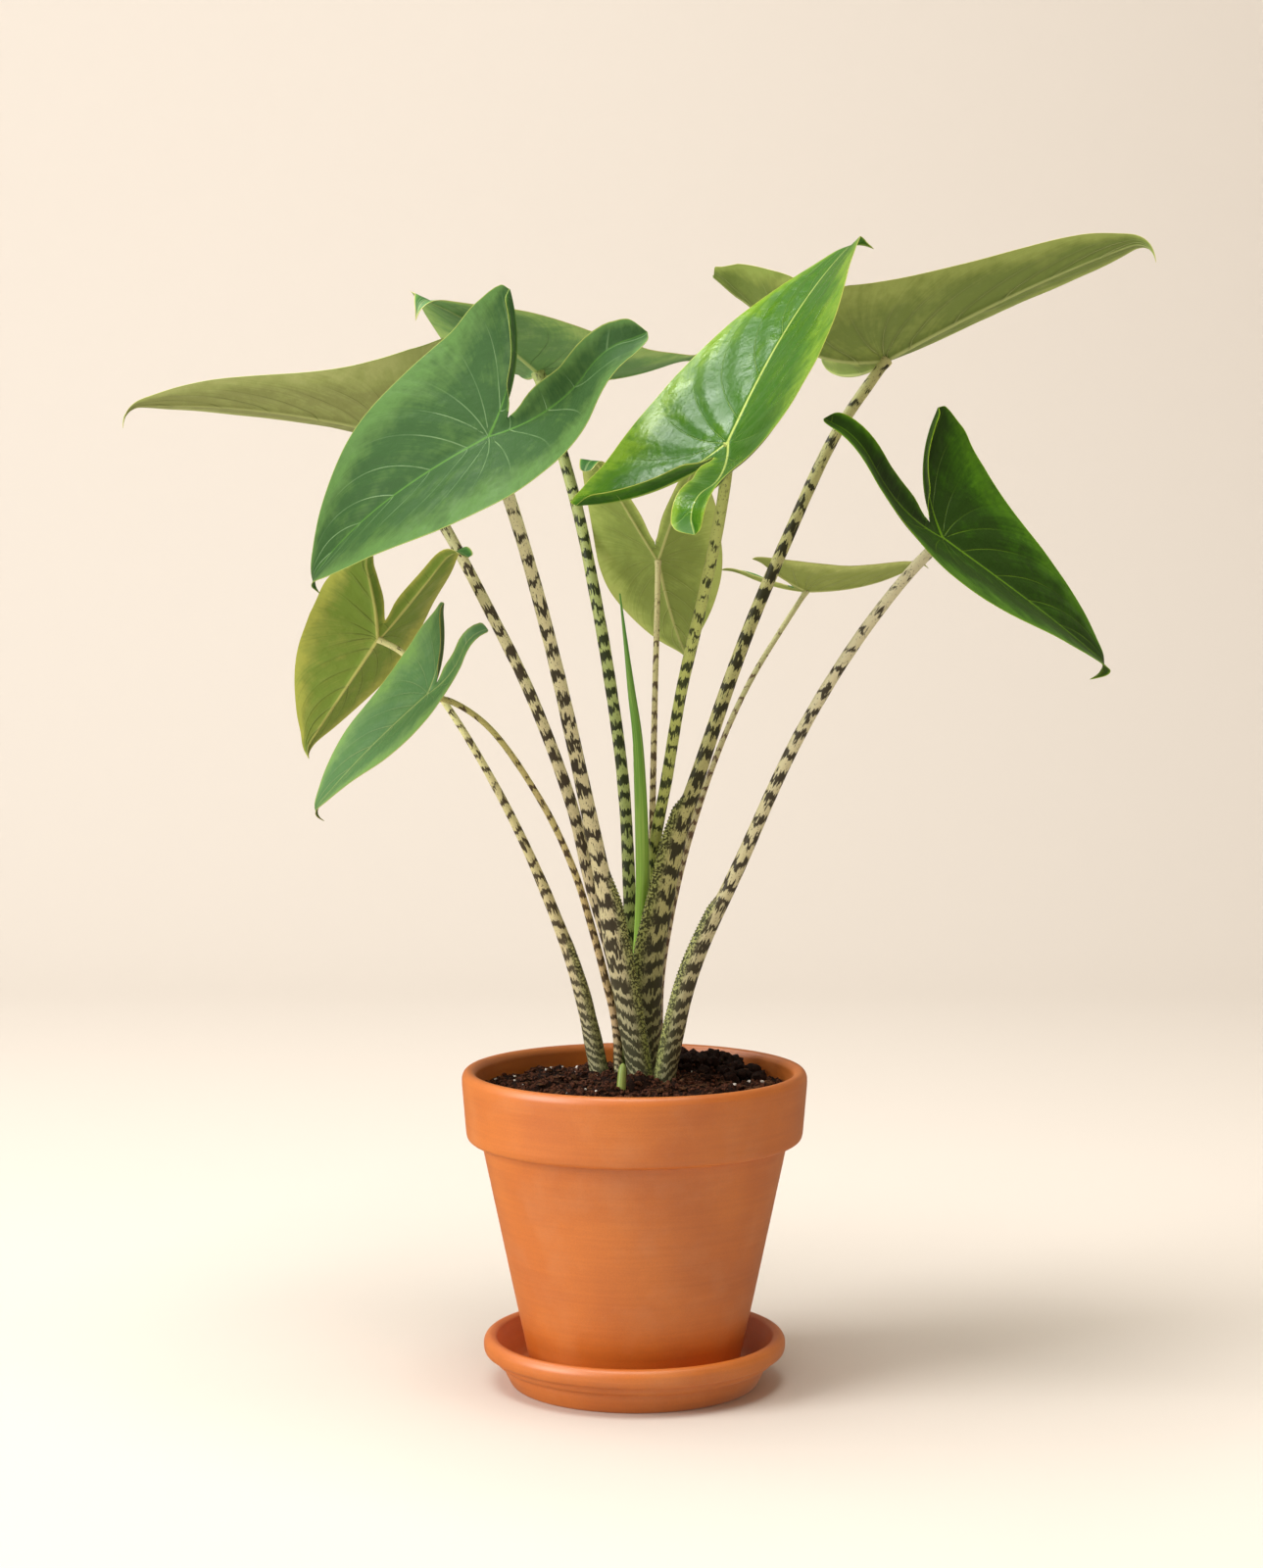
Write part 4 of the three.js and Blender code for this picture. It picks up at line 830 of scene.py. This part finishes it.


# For each leaf its upper side and its underside: three greens, the colours of the veins, of the
# painted shade beside them, of the ribs and of the margin, then gloss, raised, clarity and
# shine. Where a blade shows its underside (those with GRASS on top), the underside's greens are
# painted lighter, for the light that shines through the thin blade.
GRASS = (("#3a6e31", "#4e843e", "#6ca04c"), "#98b881", "#36642e", "#9eb87c", "#ddd587",
         0.36, -0.35, 0.5)
SKINS = {
    "front_left": (
        (("#34532b", "#466534", "#52753d"), "#8aa878", "#2f5328", "#4f7a34", "#a3b05c",
         0.36, 0.25, 0.5, 0.07),
        (("#325e29", "#3f6c2f", "#598e38"), "#7f9c5c", "#31582a", "#6f9048", "#a9b556",
         0.4, 0.3, 0.3)),
    "back_left": (
        GRASS,
        (("#949c5d", "#a6b26a", "#b7c17b"), "#717945", "#8b9457", "#b4bd79", "#7ba251",
         0.5, 0.5, 0.5)),
    "back_centre": (
        GRASS,
        (("#6b9a5a", "#82b062", "#a7ca72"), "#567d4d", "#729f57", "#b3c87c", "#c9cb82",
         0.46, 0.5, 0.6)),
    "front_right": (
        (("#32620b", "#477310", "#6f9425"), "#78a040", "#275c0c", "#b2c468", "#bcc25a",
         0.22, -0.7, 0.6, 0.35),
        (("#2c5e0e", "#3c7014", "#55861c"), "#8fb050", "#306a10", "#a0c050", "#c9d668",
         0.3, 0.3, 0.4)),
    "back_right": (
        GRASS,
        (("#7e9348", "#93a553", "#aabc64"), "#afbe76", "#69793e", "#bac77f", "#a7b25f",
         0.48, 0.7, 0.75)),
    "right": (
        (("#244305", "#315a07", "#48770f"), "#759f1c", "#234005", "#618d13", "#9dc31d",
         0.33, -0.3, 0.4, 0.25),
        (("#284a07", "#365d0b", "#4c7611"), "#758f22", "#274504", "#618117", "#98b124",
         0.4, 0.3, 0.3)),
    "mid_right": (
        GRASS,
        (("#93a351", "#a6b560", "#bfcd76"), "#abb973", "#839149", "#bcc67e", "#b9c26c",
         0.5, 0.5, 0.5)),
    "centre": (
        GRASS,
        (("#899d4c", "#9cb158", "#b4c66b"), "#abb96b", "#7e9040", "#bdc17a", "#b4b96a",
         0.5, 0.4, 0.4)),
    "lower_left": (
        GRASS,
        (("#789437", "#909f45", "#adb54f"), "#637832", "#7c8f3b", "#bbbb69", "#b7ba52",
         0.5, 0.4, 0.6)),
    "small_left": (
        (("#4a743d", "#5e8348", "#6c934a"), "#93a66a", "#3f6936", "#8a9c5c", "#a9a857",
         0.4, -0.3, 0.45, 0.4),
        (("#426230", "#52733a", "#6b8944"), "#9b9f64", "#3d5a2e", "#88934f", "#ceb95e",
         0.4, 0.3, 0.3)),
}
for name, leaf in LEAVES.items():
    shape = {**PLAIN, **leaf["blade"]}
    looks = [leaf_skin(f"leaf_{side}_{name}", *skin)
             for side, skin in zip(("upper", "underside"), SKINS[name])]
    points, faces, look, maps = blade_mesh(shape)
    piece(f"leaf_{name}", points, faces, looks, [f"blade_{name}"], look, maps)

# ----------------------------------------------------------------------------------------- stems
# The leaf stalks: round, juicy and firm, cream to yellow-green, with the ragged dark bands that
# give the plant its name. The thick ones are wrapped at the foot by a crinkled sheath.
STEM_SIDES = 36
RING_STEP = 1.1
CROWN_TOP_Z = 178.3
TUCK = 2.2  # millimetres between the tucks of a sheath's crinkled edge


def smooth_path(points, samples=400):
    """A centripetal curve through the points, as samples evenly spaced along it."""
    p = np.array(points, float)
    p = np.concatenate([[2 * p[0] - p[1]], p, [2 * p[-1] - p[-2]]])
    pieces = []
    for a, b, c, d in zip(p, p[1:], p[2:], p[3:]):
        gaps = [max(np.linalg.norm(v - u) ** 0.5, 1e-4) for u, v in ((a, b), (b, c), (c, d))]
        start = ((b - a) / gaps[0] - (c - a) / (gaps[0] + gaps[1]) + (c - b) / gaps[1]) * gaps[1]
        end = ((c - b) / gaps[1] - (d - b) / (gaps[1] + gaps[2]) + (d - c) / gaps[2]) * gaps[1]
        t = np.linspace(0, 1, 40, endpoint=False)[:, None]
        pieces.append(b + start * t + (3 * (c - b) - 2 * start - end) * t ** 2
                      + (2 * (b - c) + start + end) * t ** 3)
    fine = np.concatenate(pieces + [p[-2:-1]])
    run = np.concatenate([[0], np.cumsum(np.linalg.norm(np.diff(fine, axis=0), axis=1))])
    even = np.linspace(0, run[-1], samples)
    return np.stack([np.interp(even, run, fine[:, i]) for i in range(3)], 1), run[-1]


def stem_mesh(stem, leaf, pitch):
    """A stalk from under the soil to the blade's ribs, with the maps that its finish reads. pitch
    is the distance between its bands, in millimetres; they crowd together towards the foot."""
    sheath, step = stem.get("sheath", 1), stem.get("sheath_step", 12)
    bulge, swell = stem.get("bulge", 0), stem.get("swell", 0)
    upper = blade_frame(leaf)[2]
    depth = RIB_DEPTH * leaf["length"] / RIB_BLADE
    head = np.array(leaf["at"]) - upper * (0.5 + 0.35 * depth)
    foot = np.array([*stem["foot"], CROWN_TOP_Z])
    centre, length = smooth_path([foot, *stem["via"], head])
    rings = int(length / RING_STEP)
    at = np.linspace(0, 1, rings)
    sampled = np.linspace(0, 1, len(centre))
    centre = np.stack([np.interp(at, sampled, centre[:, i]) for i in range(3)], 1)
    along = np.gradient(centre, axis=0)
    along /= np.linalg.norm(along, axis=1)[:, None]
    side = np.array([*stem.get("side", (1, 0)), 0.0])
    side = side / np.linalg.norm(side) - along * (along @ (side / np.linalg.norm(side)))[:, None]
    side /= np.linalg.norm(side, axis=1)[:, None]
    left = np.cross(along, side)
    r = stem["r"][1] + (stem["r"][0] - stem["r"][1]) * (1 - at) ** 2
    below = np.maximum(sheath - at * length, 0)
    down = below / sheath
    ridge = bulge * smoothstep(below / step) * (1 + swell * down) * np.sqrt(1 - down ** 2)
    turn = np.linspace(0, 2 * np.pi, STEM_SIDES, endpoint=False)
    crest = np.maximum(0, np.cos(turn)) ** 2
    widen = 1 + ridge[:, None] * crest
    run = at * length
    tucks = 0.11 * np.sin(2 * np.pi * run / TUCK)[:, None]
    tuck = tucks * crest ** 2 * smoothstep(ridge * 3)[:, None]
    flare = 1 + 0.25 * smoothstep((at - 0.985) / 0.015)
    ripple = 0.03 * random_height(np.stack([run, run * 0, run * 0], 1), 14, int(leaf["length"]))
    wide = (r * flare * (1 + ripple))[:, None] * (widen + tuck) * np.cos(turn)
    deep = (r * flare * (1 + ripple))[:, None] * np.minimum(widen, 1.15) * np.sin(turn)
    points = (centre[:, None, :] + side[:, None, :] * wide[..., None]
              + left[:, None, :] * deep[..., None]).reshape(-1, 3)
    faces, ends = wrapped(rings, STEM_SIDES)
    # How far up the foot's darker skin and its crowded bands reach, with and without a sheath.
    dark_foot, crowding = (70, 110) if sheath > 1 else (30, 60)
    # Low down the bands dip towards the sheath's edge, and so meet in chevrons.
    low = np.exp(-(run / dark_foot) ** 2)[:, None]
    level = run[:, None] + 1.1 * low * wide
    fine = np.linspace(-60, length + 60, 2000)
    crowded = 0.42 + 0.58 * smoothstep((fine - 8) / crowding)
    counted = np.cumsum(1 / (pitch * crowded)) * (fine[1] - fine[0])
    skin = np.stack([wide, deep, run[:, None] + 0 * wide], -1).reshape(-1, 3)
    sheathed = np.clip(ridge[:, None] * 2.5, 0, 1) * np.clip(crest * 3.2 - 1.5, 0, 1)
    bands = np.stack([np.interp(level, fine, counted), low + 0 * wide, sheathed], -1)
    bands = bands.reshape(-1, 3)
    rises = np.repeat(at, STEM_SIDES)
    covered = np.repeat(smoothstep(below / 45) * min(1, 1.6 * bulge), STEM_SIDES)
    reach = np.stack([rises, (1 - rises) * length, covered], 1)
    return points, faces + ends, {"skin": skin, "bands": bands, "reach": reach}


def flecks(made, at, across, along, detail=1):
    """Noise on a stalk's skin whose spots are `across` by `along` millimetres."""
    stretched = add(made, "VectorMath", [at, (1 / across, 1 / across, 1 / along)],
                    operation="MULTIPLY")
    return noise(made, stretched, 1.0, detail)


def zebra_skin(name, foot, top, dark, share):
    """Stalk skin: pale, smooth and slightly waxy, with dark bands whose edges are feathered along
    the stalk. share is the part that the dark covers."""
    made = finish(name)
    skin = add(made, "Attribute", attribute_name="skin").outputs["Vector"]
    count, low, sheathed = stored(made, "bands")
    rises, to_blade, covered = stored(made, "reach")
    phase = count
    for across, along, weight in ((0.9, 5.5, 0.9), (4.5, 12, 1.25)):
        phase = calc(made, "MULTIPLY_ADD", flecks(made, skin, across, along), weight, phase)
    phase = calc(made, "MULTIPLY", phase, 2 * math.pi)
    wave = calc(made, "SINE", phase)
    # Gaps open in the bands here and there, and the last stretch under the blade is almost clear.
    clear = add(made, "MapRange", [to_blade, 5.0, 160.0, 1.0, 0.0])
    level = calc(made, "MULTIPLY_ADD", flecks(made, skin, 4, 8), 2.3,
                 math.cos(math.pi * share) - 1.15)
    level = calc(made, "ADD", level, clear)
    # The sheath and the foot under it are the darkest.
    for part, weight in ((covered, -0.35), (low, -0.25)):
        level = calc(made, "MULTIPLY_ADD", part, weight, level)
    banded = calc(made, "SUBTRACT", wave, level)
    banded = eased(made, banded, -0.2, 0.3)
    specked = add(made, "MapRange", [flecks(made, skin, 0.9, 1.3), 0.63, 0.7, 0.0, 0.65])
    # The sheath is stippled all over with dots of about a millimetre.
    stipple = flecks(made, skin, 1.3, 1.6, 2)
    stippled = add(made, "MapRange", [stipple, 0.46, 0.51, 0.0, 0.95])
    # The pale ground turns from the foot's colour to the top's, and greys low down and at the
    # sheath's edge.
    rise = calc(made, "MULTIPLY_ADD", flecks(made, skin, 8, 30, 2), 0.6, rises)
    risen = add(made, "MapRange", [rise, 0.4, 1.15])
    aging = calc(made, "MULTIPLY", low, 0.75)
    edging = calc(made, "MULTIPLY", sheathed, 0.8)
    ground = foot
    for cover, over in ((risen, top), (aging, "#98a07a"), (edging, "#a2ab5a")):
        ground = blend(made, cover, ground, over)
    marks = calc(made, "MAXIMUM", banded, specked)
    marks = add(made, "Mix", {"Factor": sheathed, "A": marks, "B": stippled})
    darkest = calc(made, "MAXIMUM", low, sheathed)
    inked = blend(made, darkest, dark, "#20240f")
    faded = calc(made, "MULTIPLY_ADD", low, -0.1, 0.95)
    strong = calc(made, "MULTIPLY", marks, faded)
    shade = blend(made, strong, ground, inked)
    rough_skin = add(made, "Mix", {"Factor": sheathed, "A": 0.03, "B": 0.3})
    height = calc(made, "MULTIPLY", stipple, rough_skin)
    return coat(made, shade, height, 1.0, 1, {"Roughness": 0.45, "IOR": 1.42})


# Millimetres between the bands, then foot colour, top colour, dark of the bands and their share.
STEM_TONES = {
    "front_left": (14.5, "#d6cba0", "#dcd7a8", "#2a2116", 0.5),
    "back_left": (14.0, "#d6c5a0", "#d0cc9a", "#33261b", 0.5),
    "back_centre": (11.0, "#a0b068", "#b8c47e", "#1f2911", 0.5),
    "front_right": (11.5, "#b1bb62", "#bbc670", "#2a3515", 0.42),
    "back_right": (15.0, "#c0bb7e", "#cbc98a", "#242212", 0.5),
    "right": (14.5, "#cfc798", "#dad3ae", "#30271b", 0.47),
    "mid_right": (8.5, "#d6c2a0", "#d0ce9a", "#6a5040", 0.42),
    "centre": (9.0, "#d1ba94", "#cfc892", "#54402c", 0.46),
    "lower_left": (10.5, "#ddc99e", "#dbda9b", "#443626", 0.46),
    "small_left": (9.5, "#d2b58a", "#c3bd74", "#4e3b27", 0.46),
}
for name, leaf in LEAVES.items():
    pitch, *tones = STEM_TONES[name]
    look = zebra_skin(f"zebra_stalk_{name}", *tones)
    points, faces, maps = stem_mesh(leaf["stem"], {**PLAIN, **leaf["blade"]}, pitch)
    piece(f"stalk_{name}", points, faces, [look], [f"stem_{name}"], maps=maps)

# ----------------------------------------------------------------------------- new leaf and shoot
# The next leaf stands rolled up among the stalks as a smooth bright spear, and a first small
# shoot of a side plant comes out of the soil in front.
SPEAR_SIDES = 40


def spear_mesh(path, radii, rings, roll):
    """A rolled leaf along a path: its free edge winds once round it as a small step."""
    centre, length = smooth_path(path, rings)
    at = np.linspace(0, 1, rings)
    r = through(radii, at)
    turn = np.linspace(0, 2 * np.pi, SPEAR_SIDES, endpoint=False)
    lag = (turn[None, :] - roll * at[:, None]) % (2 * np.pi)
    step = 1 - 0.1 * lag / (2 * np.pi)
    around = np.stack([np.cos(turn), np.sin(turn), 0 * turn], 1)
    points = (centre[:, None, :] + around[None] * (r[:, None] * step)[..., None]).reshape(-1, 3)
    faces, ends = wrapped(rings, SPEAR_SIDES)
    run = np.repeat(at * length, SPEAR_SIDES)
    skin = np.stack([np.tile(np.cos(turn) * 4, rings), np.tile(np.sin(turn) * 4, rings), run], 1)
    rise = np.stack([np.repeat(at, SPEAR_SIDES), 0 * run, 0 * run], 1)
    return points, faces + ends, {"skin": skin, "rise": rise}


def young_skin(name, low, high, line):
    """A leaf still in its roll: tender, waxy and bright, lined along by its packed veins."""
    made = finish(name)
    skin = add(made, "Attribute", attribute_name="skin").outputs["Vector"]
    long = add(made, "VectorMath", [skin, (0.9, 0.9, 0.02)], operation="MULTIPLY")
    lined = noise(made, long, 1.0, 2)
    rising = add(made, "MapRange", [stored(made, "rise")[0], 0.4, 0.95])
    tender = blend(made, rising, low, high)
    lines = add(made, "MapRange", [lined, 0.4, 0.7, 0.0, 0.45])
    striped = blend(made, lines, tender, line)
    return coat(made, striped, lined, 0.5, 0.3, {"Roughness": 0.36, "IOR": 1.45})


points, faces, maps = spear_mesh(
    [(-2, 23, CROWN_TOP_Z), (1.5, 28, 240), (4, 27, 276), (5, 20, 310), (2, 20, 390), (-2, 22, 422),
     (-9, 24, 481)],
    [(0, 3), (0.3, 4.2), (0.5, 4.3), (0.75, 3), (0.9, 1.4), (1, 0.5)], 200, 5.0)
rolled = young_skin("rolled_new_leaf", "#8dbb48", "#468a3c", "#bfdb70")
piece("leaf_in_roll", points, faces, [rolled], ["rolled_leaf"], maps=maps, sharp=60)

SHOOT = (-8, -23.5)
points, faces, maps = spear_mesh(
    [(*SHOOT, 166), (*SHOOT, 182), (SHOOT[0] + 1, SHOOT[1] + 3, 199)],
    [(0, 3), (0.5, 2.95), (0.85, 2.6), (0.96, 1.8), (1, 0.6)], 60, 2.0)
pale_shoot = young_skin("pale_shoot", "#96a850", "#86a047", "#bcc67a")
piece("side_shoot", points, faces, [pale_shoot], ["shoot"], maps=maps, sharp=60)

# ------------------------------------------------------------------------- floor, light and camera
# A sweep of warm white paper under and far behind the pot, big soft lights, and the pale room.
SWEEP_BACK = 1700
SWEEP_R = 1100
SWEEP_FRONT = -3000
SWEEP_LEFT = -6000
SWEEP_RIGHT = 4200
SWEEP_TOP = 4000
SWEEP_UNDER = 0.05  # below the saucer, so that the two don't lie in one plane

# Matt uncoated paper, with a fine tooth of about a millimetre.
paper = finish("paper_sweep")
place = add(paper, "TexCoord").outputs["Object"]
tooth = noise(paper, place, 900.0, 2)
coat(paper, "#dfd9d2", tooth, 0.1, 0.1, {"Roughness": 0.9})
profile = [(SWEEP_FRONT, 0), (SWEEP_BACK, 0)]
for turn in np.linspace(0, np.pi / 2, 24)[1:]:
    profile.append((SWEEP_BACK + SWEEP_R * math.sin(turn), SWEEP_R * (1 - math.cos(turn))))
profile.append((SWEEP_BACK + SWEEP_R, SWEEP_TOP))
points = [(x, y, z - SWEEP_UNDER) for y, z in profile for x in (SWEEP_LEFT, SWEEP_RIGHT)]
faces = [(2 * k, 2 * k + 1, 2 * k + 3, 2 * k + 2) for k in range(len(profile) - 1)]
mesh = bpy.data.meshes.new("paper_sweep")
mesh.from_pydata((np.array(points) * MM).tolist(), [], faces)
mesh.materials.append(paper)
mesh.polygons.foreach_set("use_smooth", np.ones(len(mesh.polygons), bool))
sweep = bpy.data.objects.new("paper_sweep", mesh)
bpy.context.scene.collection.objects.link(sweep)
# Its wide white sheet would veil the waxy leaves with one even reflection.
sweep.visible_glossy = False


def soft_light(name, at, aim, size, power, tint):
    """A square soft box at `at` that looks at `aim`, both in metres."""
    lamp = bpy.data.lights.new(name, "AREA")
    lamp.shape = "SQUARE"
    lamp.size = size
    lamp.energy = power
    lamp.color = colour(tint)[:3]
    box = bpy.data.objects.new(name, lamp)
    towards = np.array(aim, float) - np.array(at, float)
    across = math.atan2(towards[1], towards[0])
    down = math.atan2(math.hypot(towards[0], towards[1]), -towards[2])
    box.location = at
    box.rotation_euler = (down, 0, across - math.pi / 2)
    bpy.context.scene.collection.objects.link(box)
    return box


# The key light stands low on the left.
soft_light("key_soft_box", (-4.45, -2.0, 2.45), (0, 0, 0.35), 2.8, 230, "#fffdfb")
soft_light("top_soft_box", (-0.3, -0.5, 3.0), (0, 0, 0), 2.0, 98, "#fffaf2")
# Two windows on the left, which only show as gleams on the waxy blades.
for name, at, size, power in (("side_window", (-1.7, 0.0, 2.1), 1.0, 7),
                              ("back_window", (-1.15, 0.82, 2.36), 0.55, 13)):
    window = soft_light(name, at, (0, 0, 0.5), size, power, "#fbfdff")
    window.visible_diffuse = False

# The room gives a little warm light, and is seen as pale as the paper.
world = bpy.data.worlds.new("pale_room")
world.use_nodes = True
world.node_tree.nodes.clear()
glow = add(world, "Background", {"Color": "#ffecd2", "Strength": 0.31})
wall = add(world, "Background", {"Color": "#f3e8da", "Strength": 1.0})
seen = add(world, "LightPath").outputs["Is Camera Ray"]
add(world, "OutputWorld", [add(world, "MixShader", [seen, glow, wall])])
bpy.context.scene.world = world

# The camera stands 1.8 m in front at half a metre's height, and looks slightly down.
CAMERA_AT = (-0.00185, -1.8, 0.491)
CAMERA_DOWN = math.radians(3.97)
IMAGE_H = 1600
FOCAL_PX = 3044
eye = bpy.data.cameras.new("camera")
eye.sensor_fit = "VERTICAL"
eye.sensor_height = 36
eye.lens = FOCAL_PX / IMAGE_H * eye.sensor_height
camera = bpy.data.objects.new("camera", eye)
camera.location = CAMERA_AT
camera.rotation_euler = (math.pi / 2 - CAMERA_DOWN, 0, 0)
bpy.context.scene.collection.objects.link(camera)
bpy.context.scene.camera = camera
# The colours are seen as they are written.
bpy.context.scene.view_settings.view_transform = "Standard"
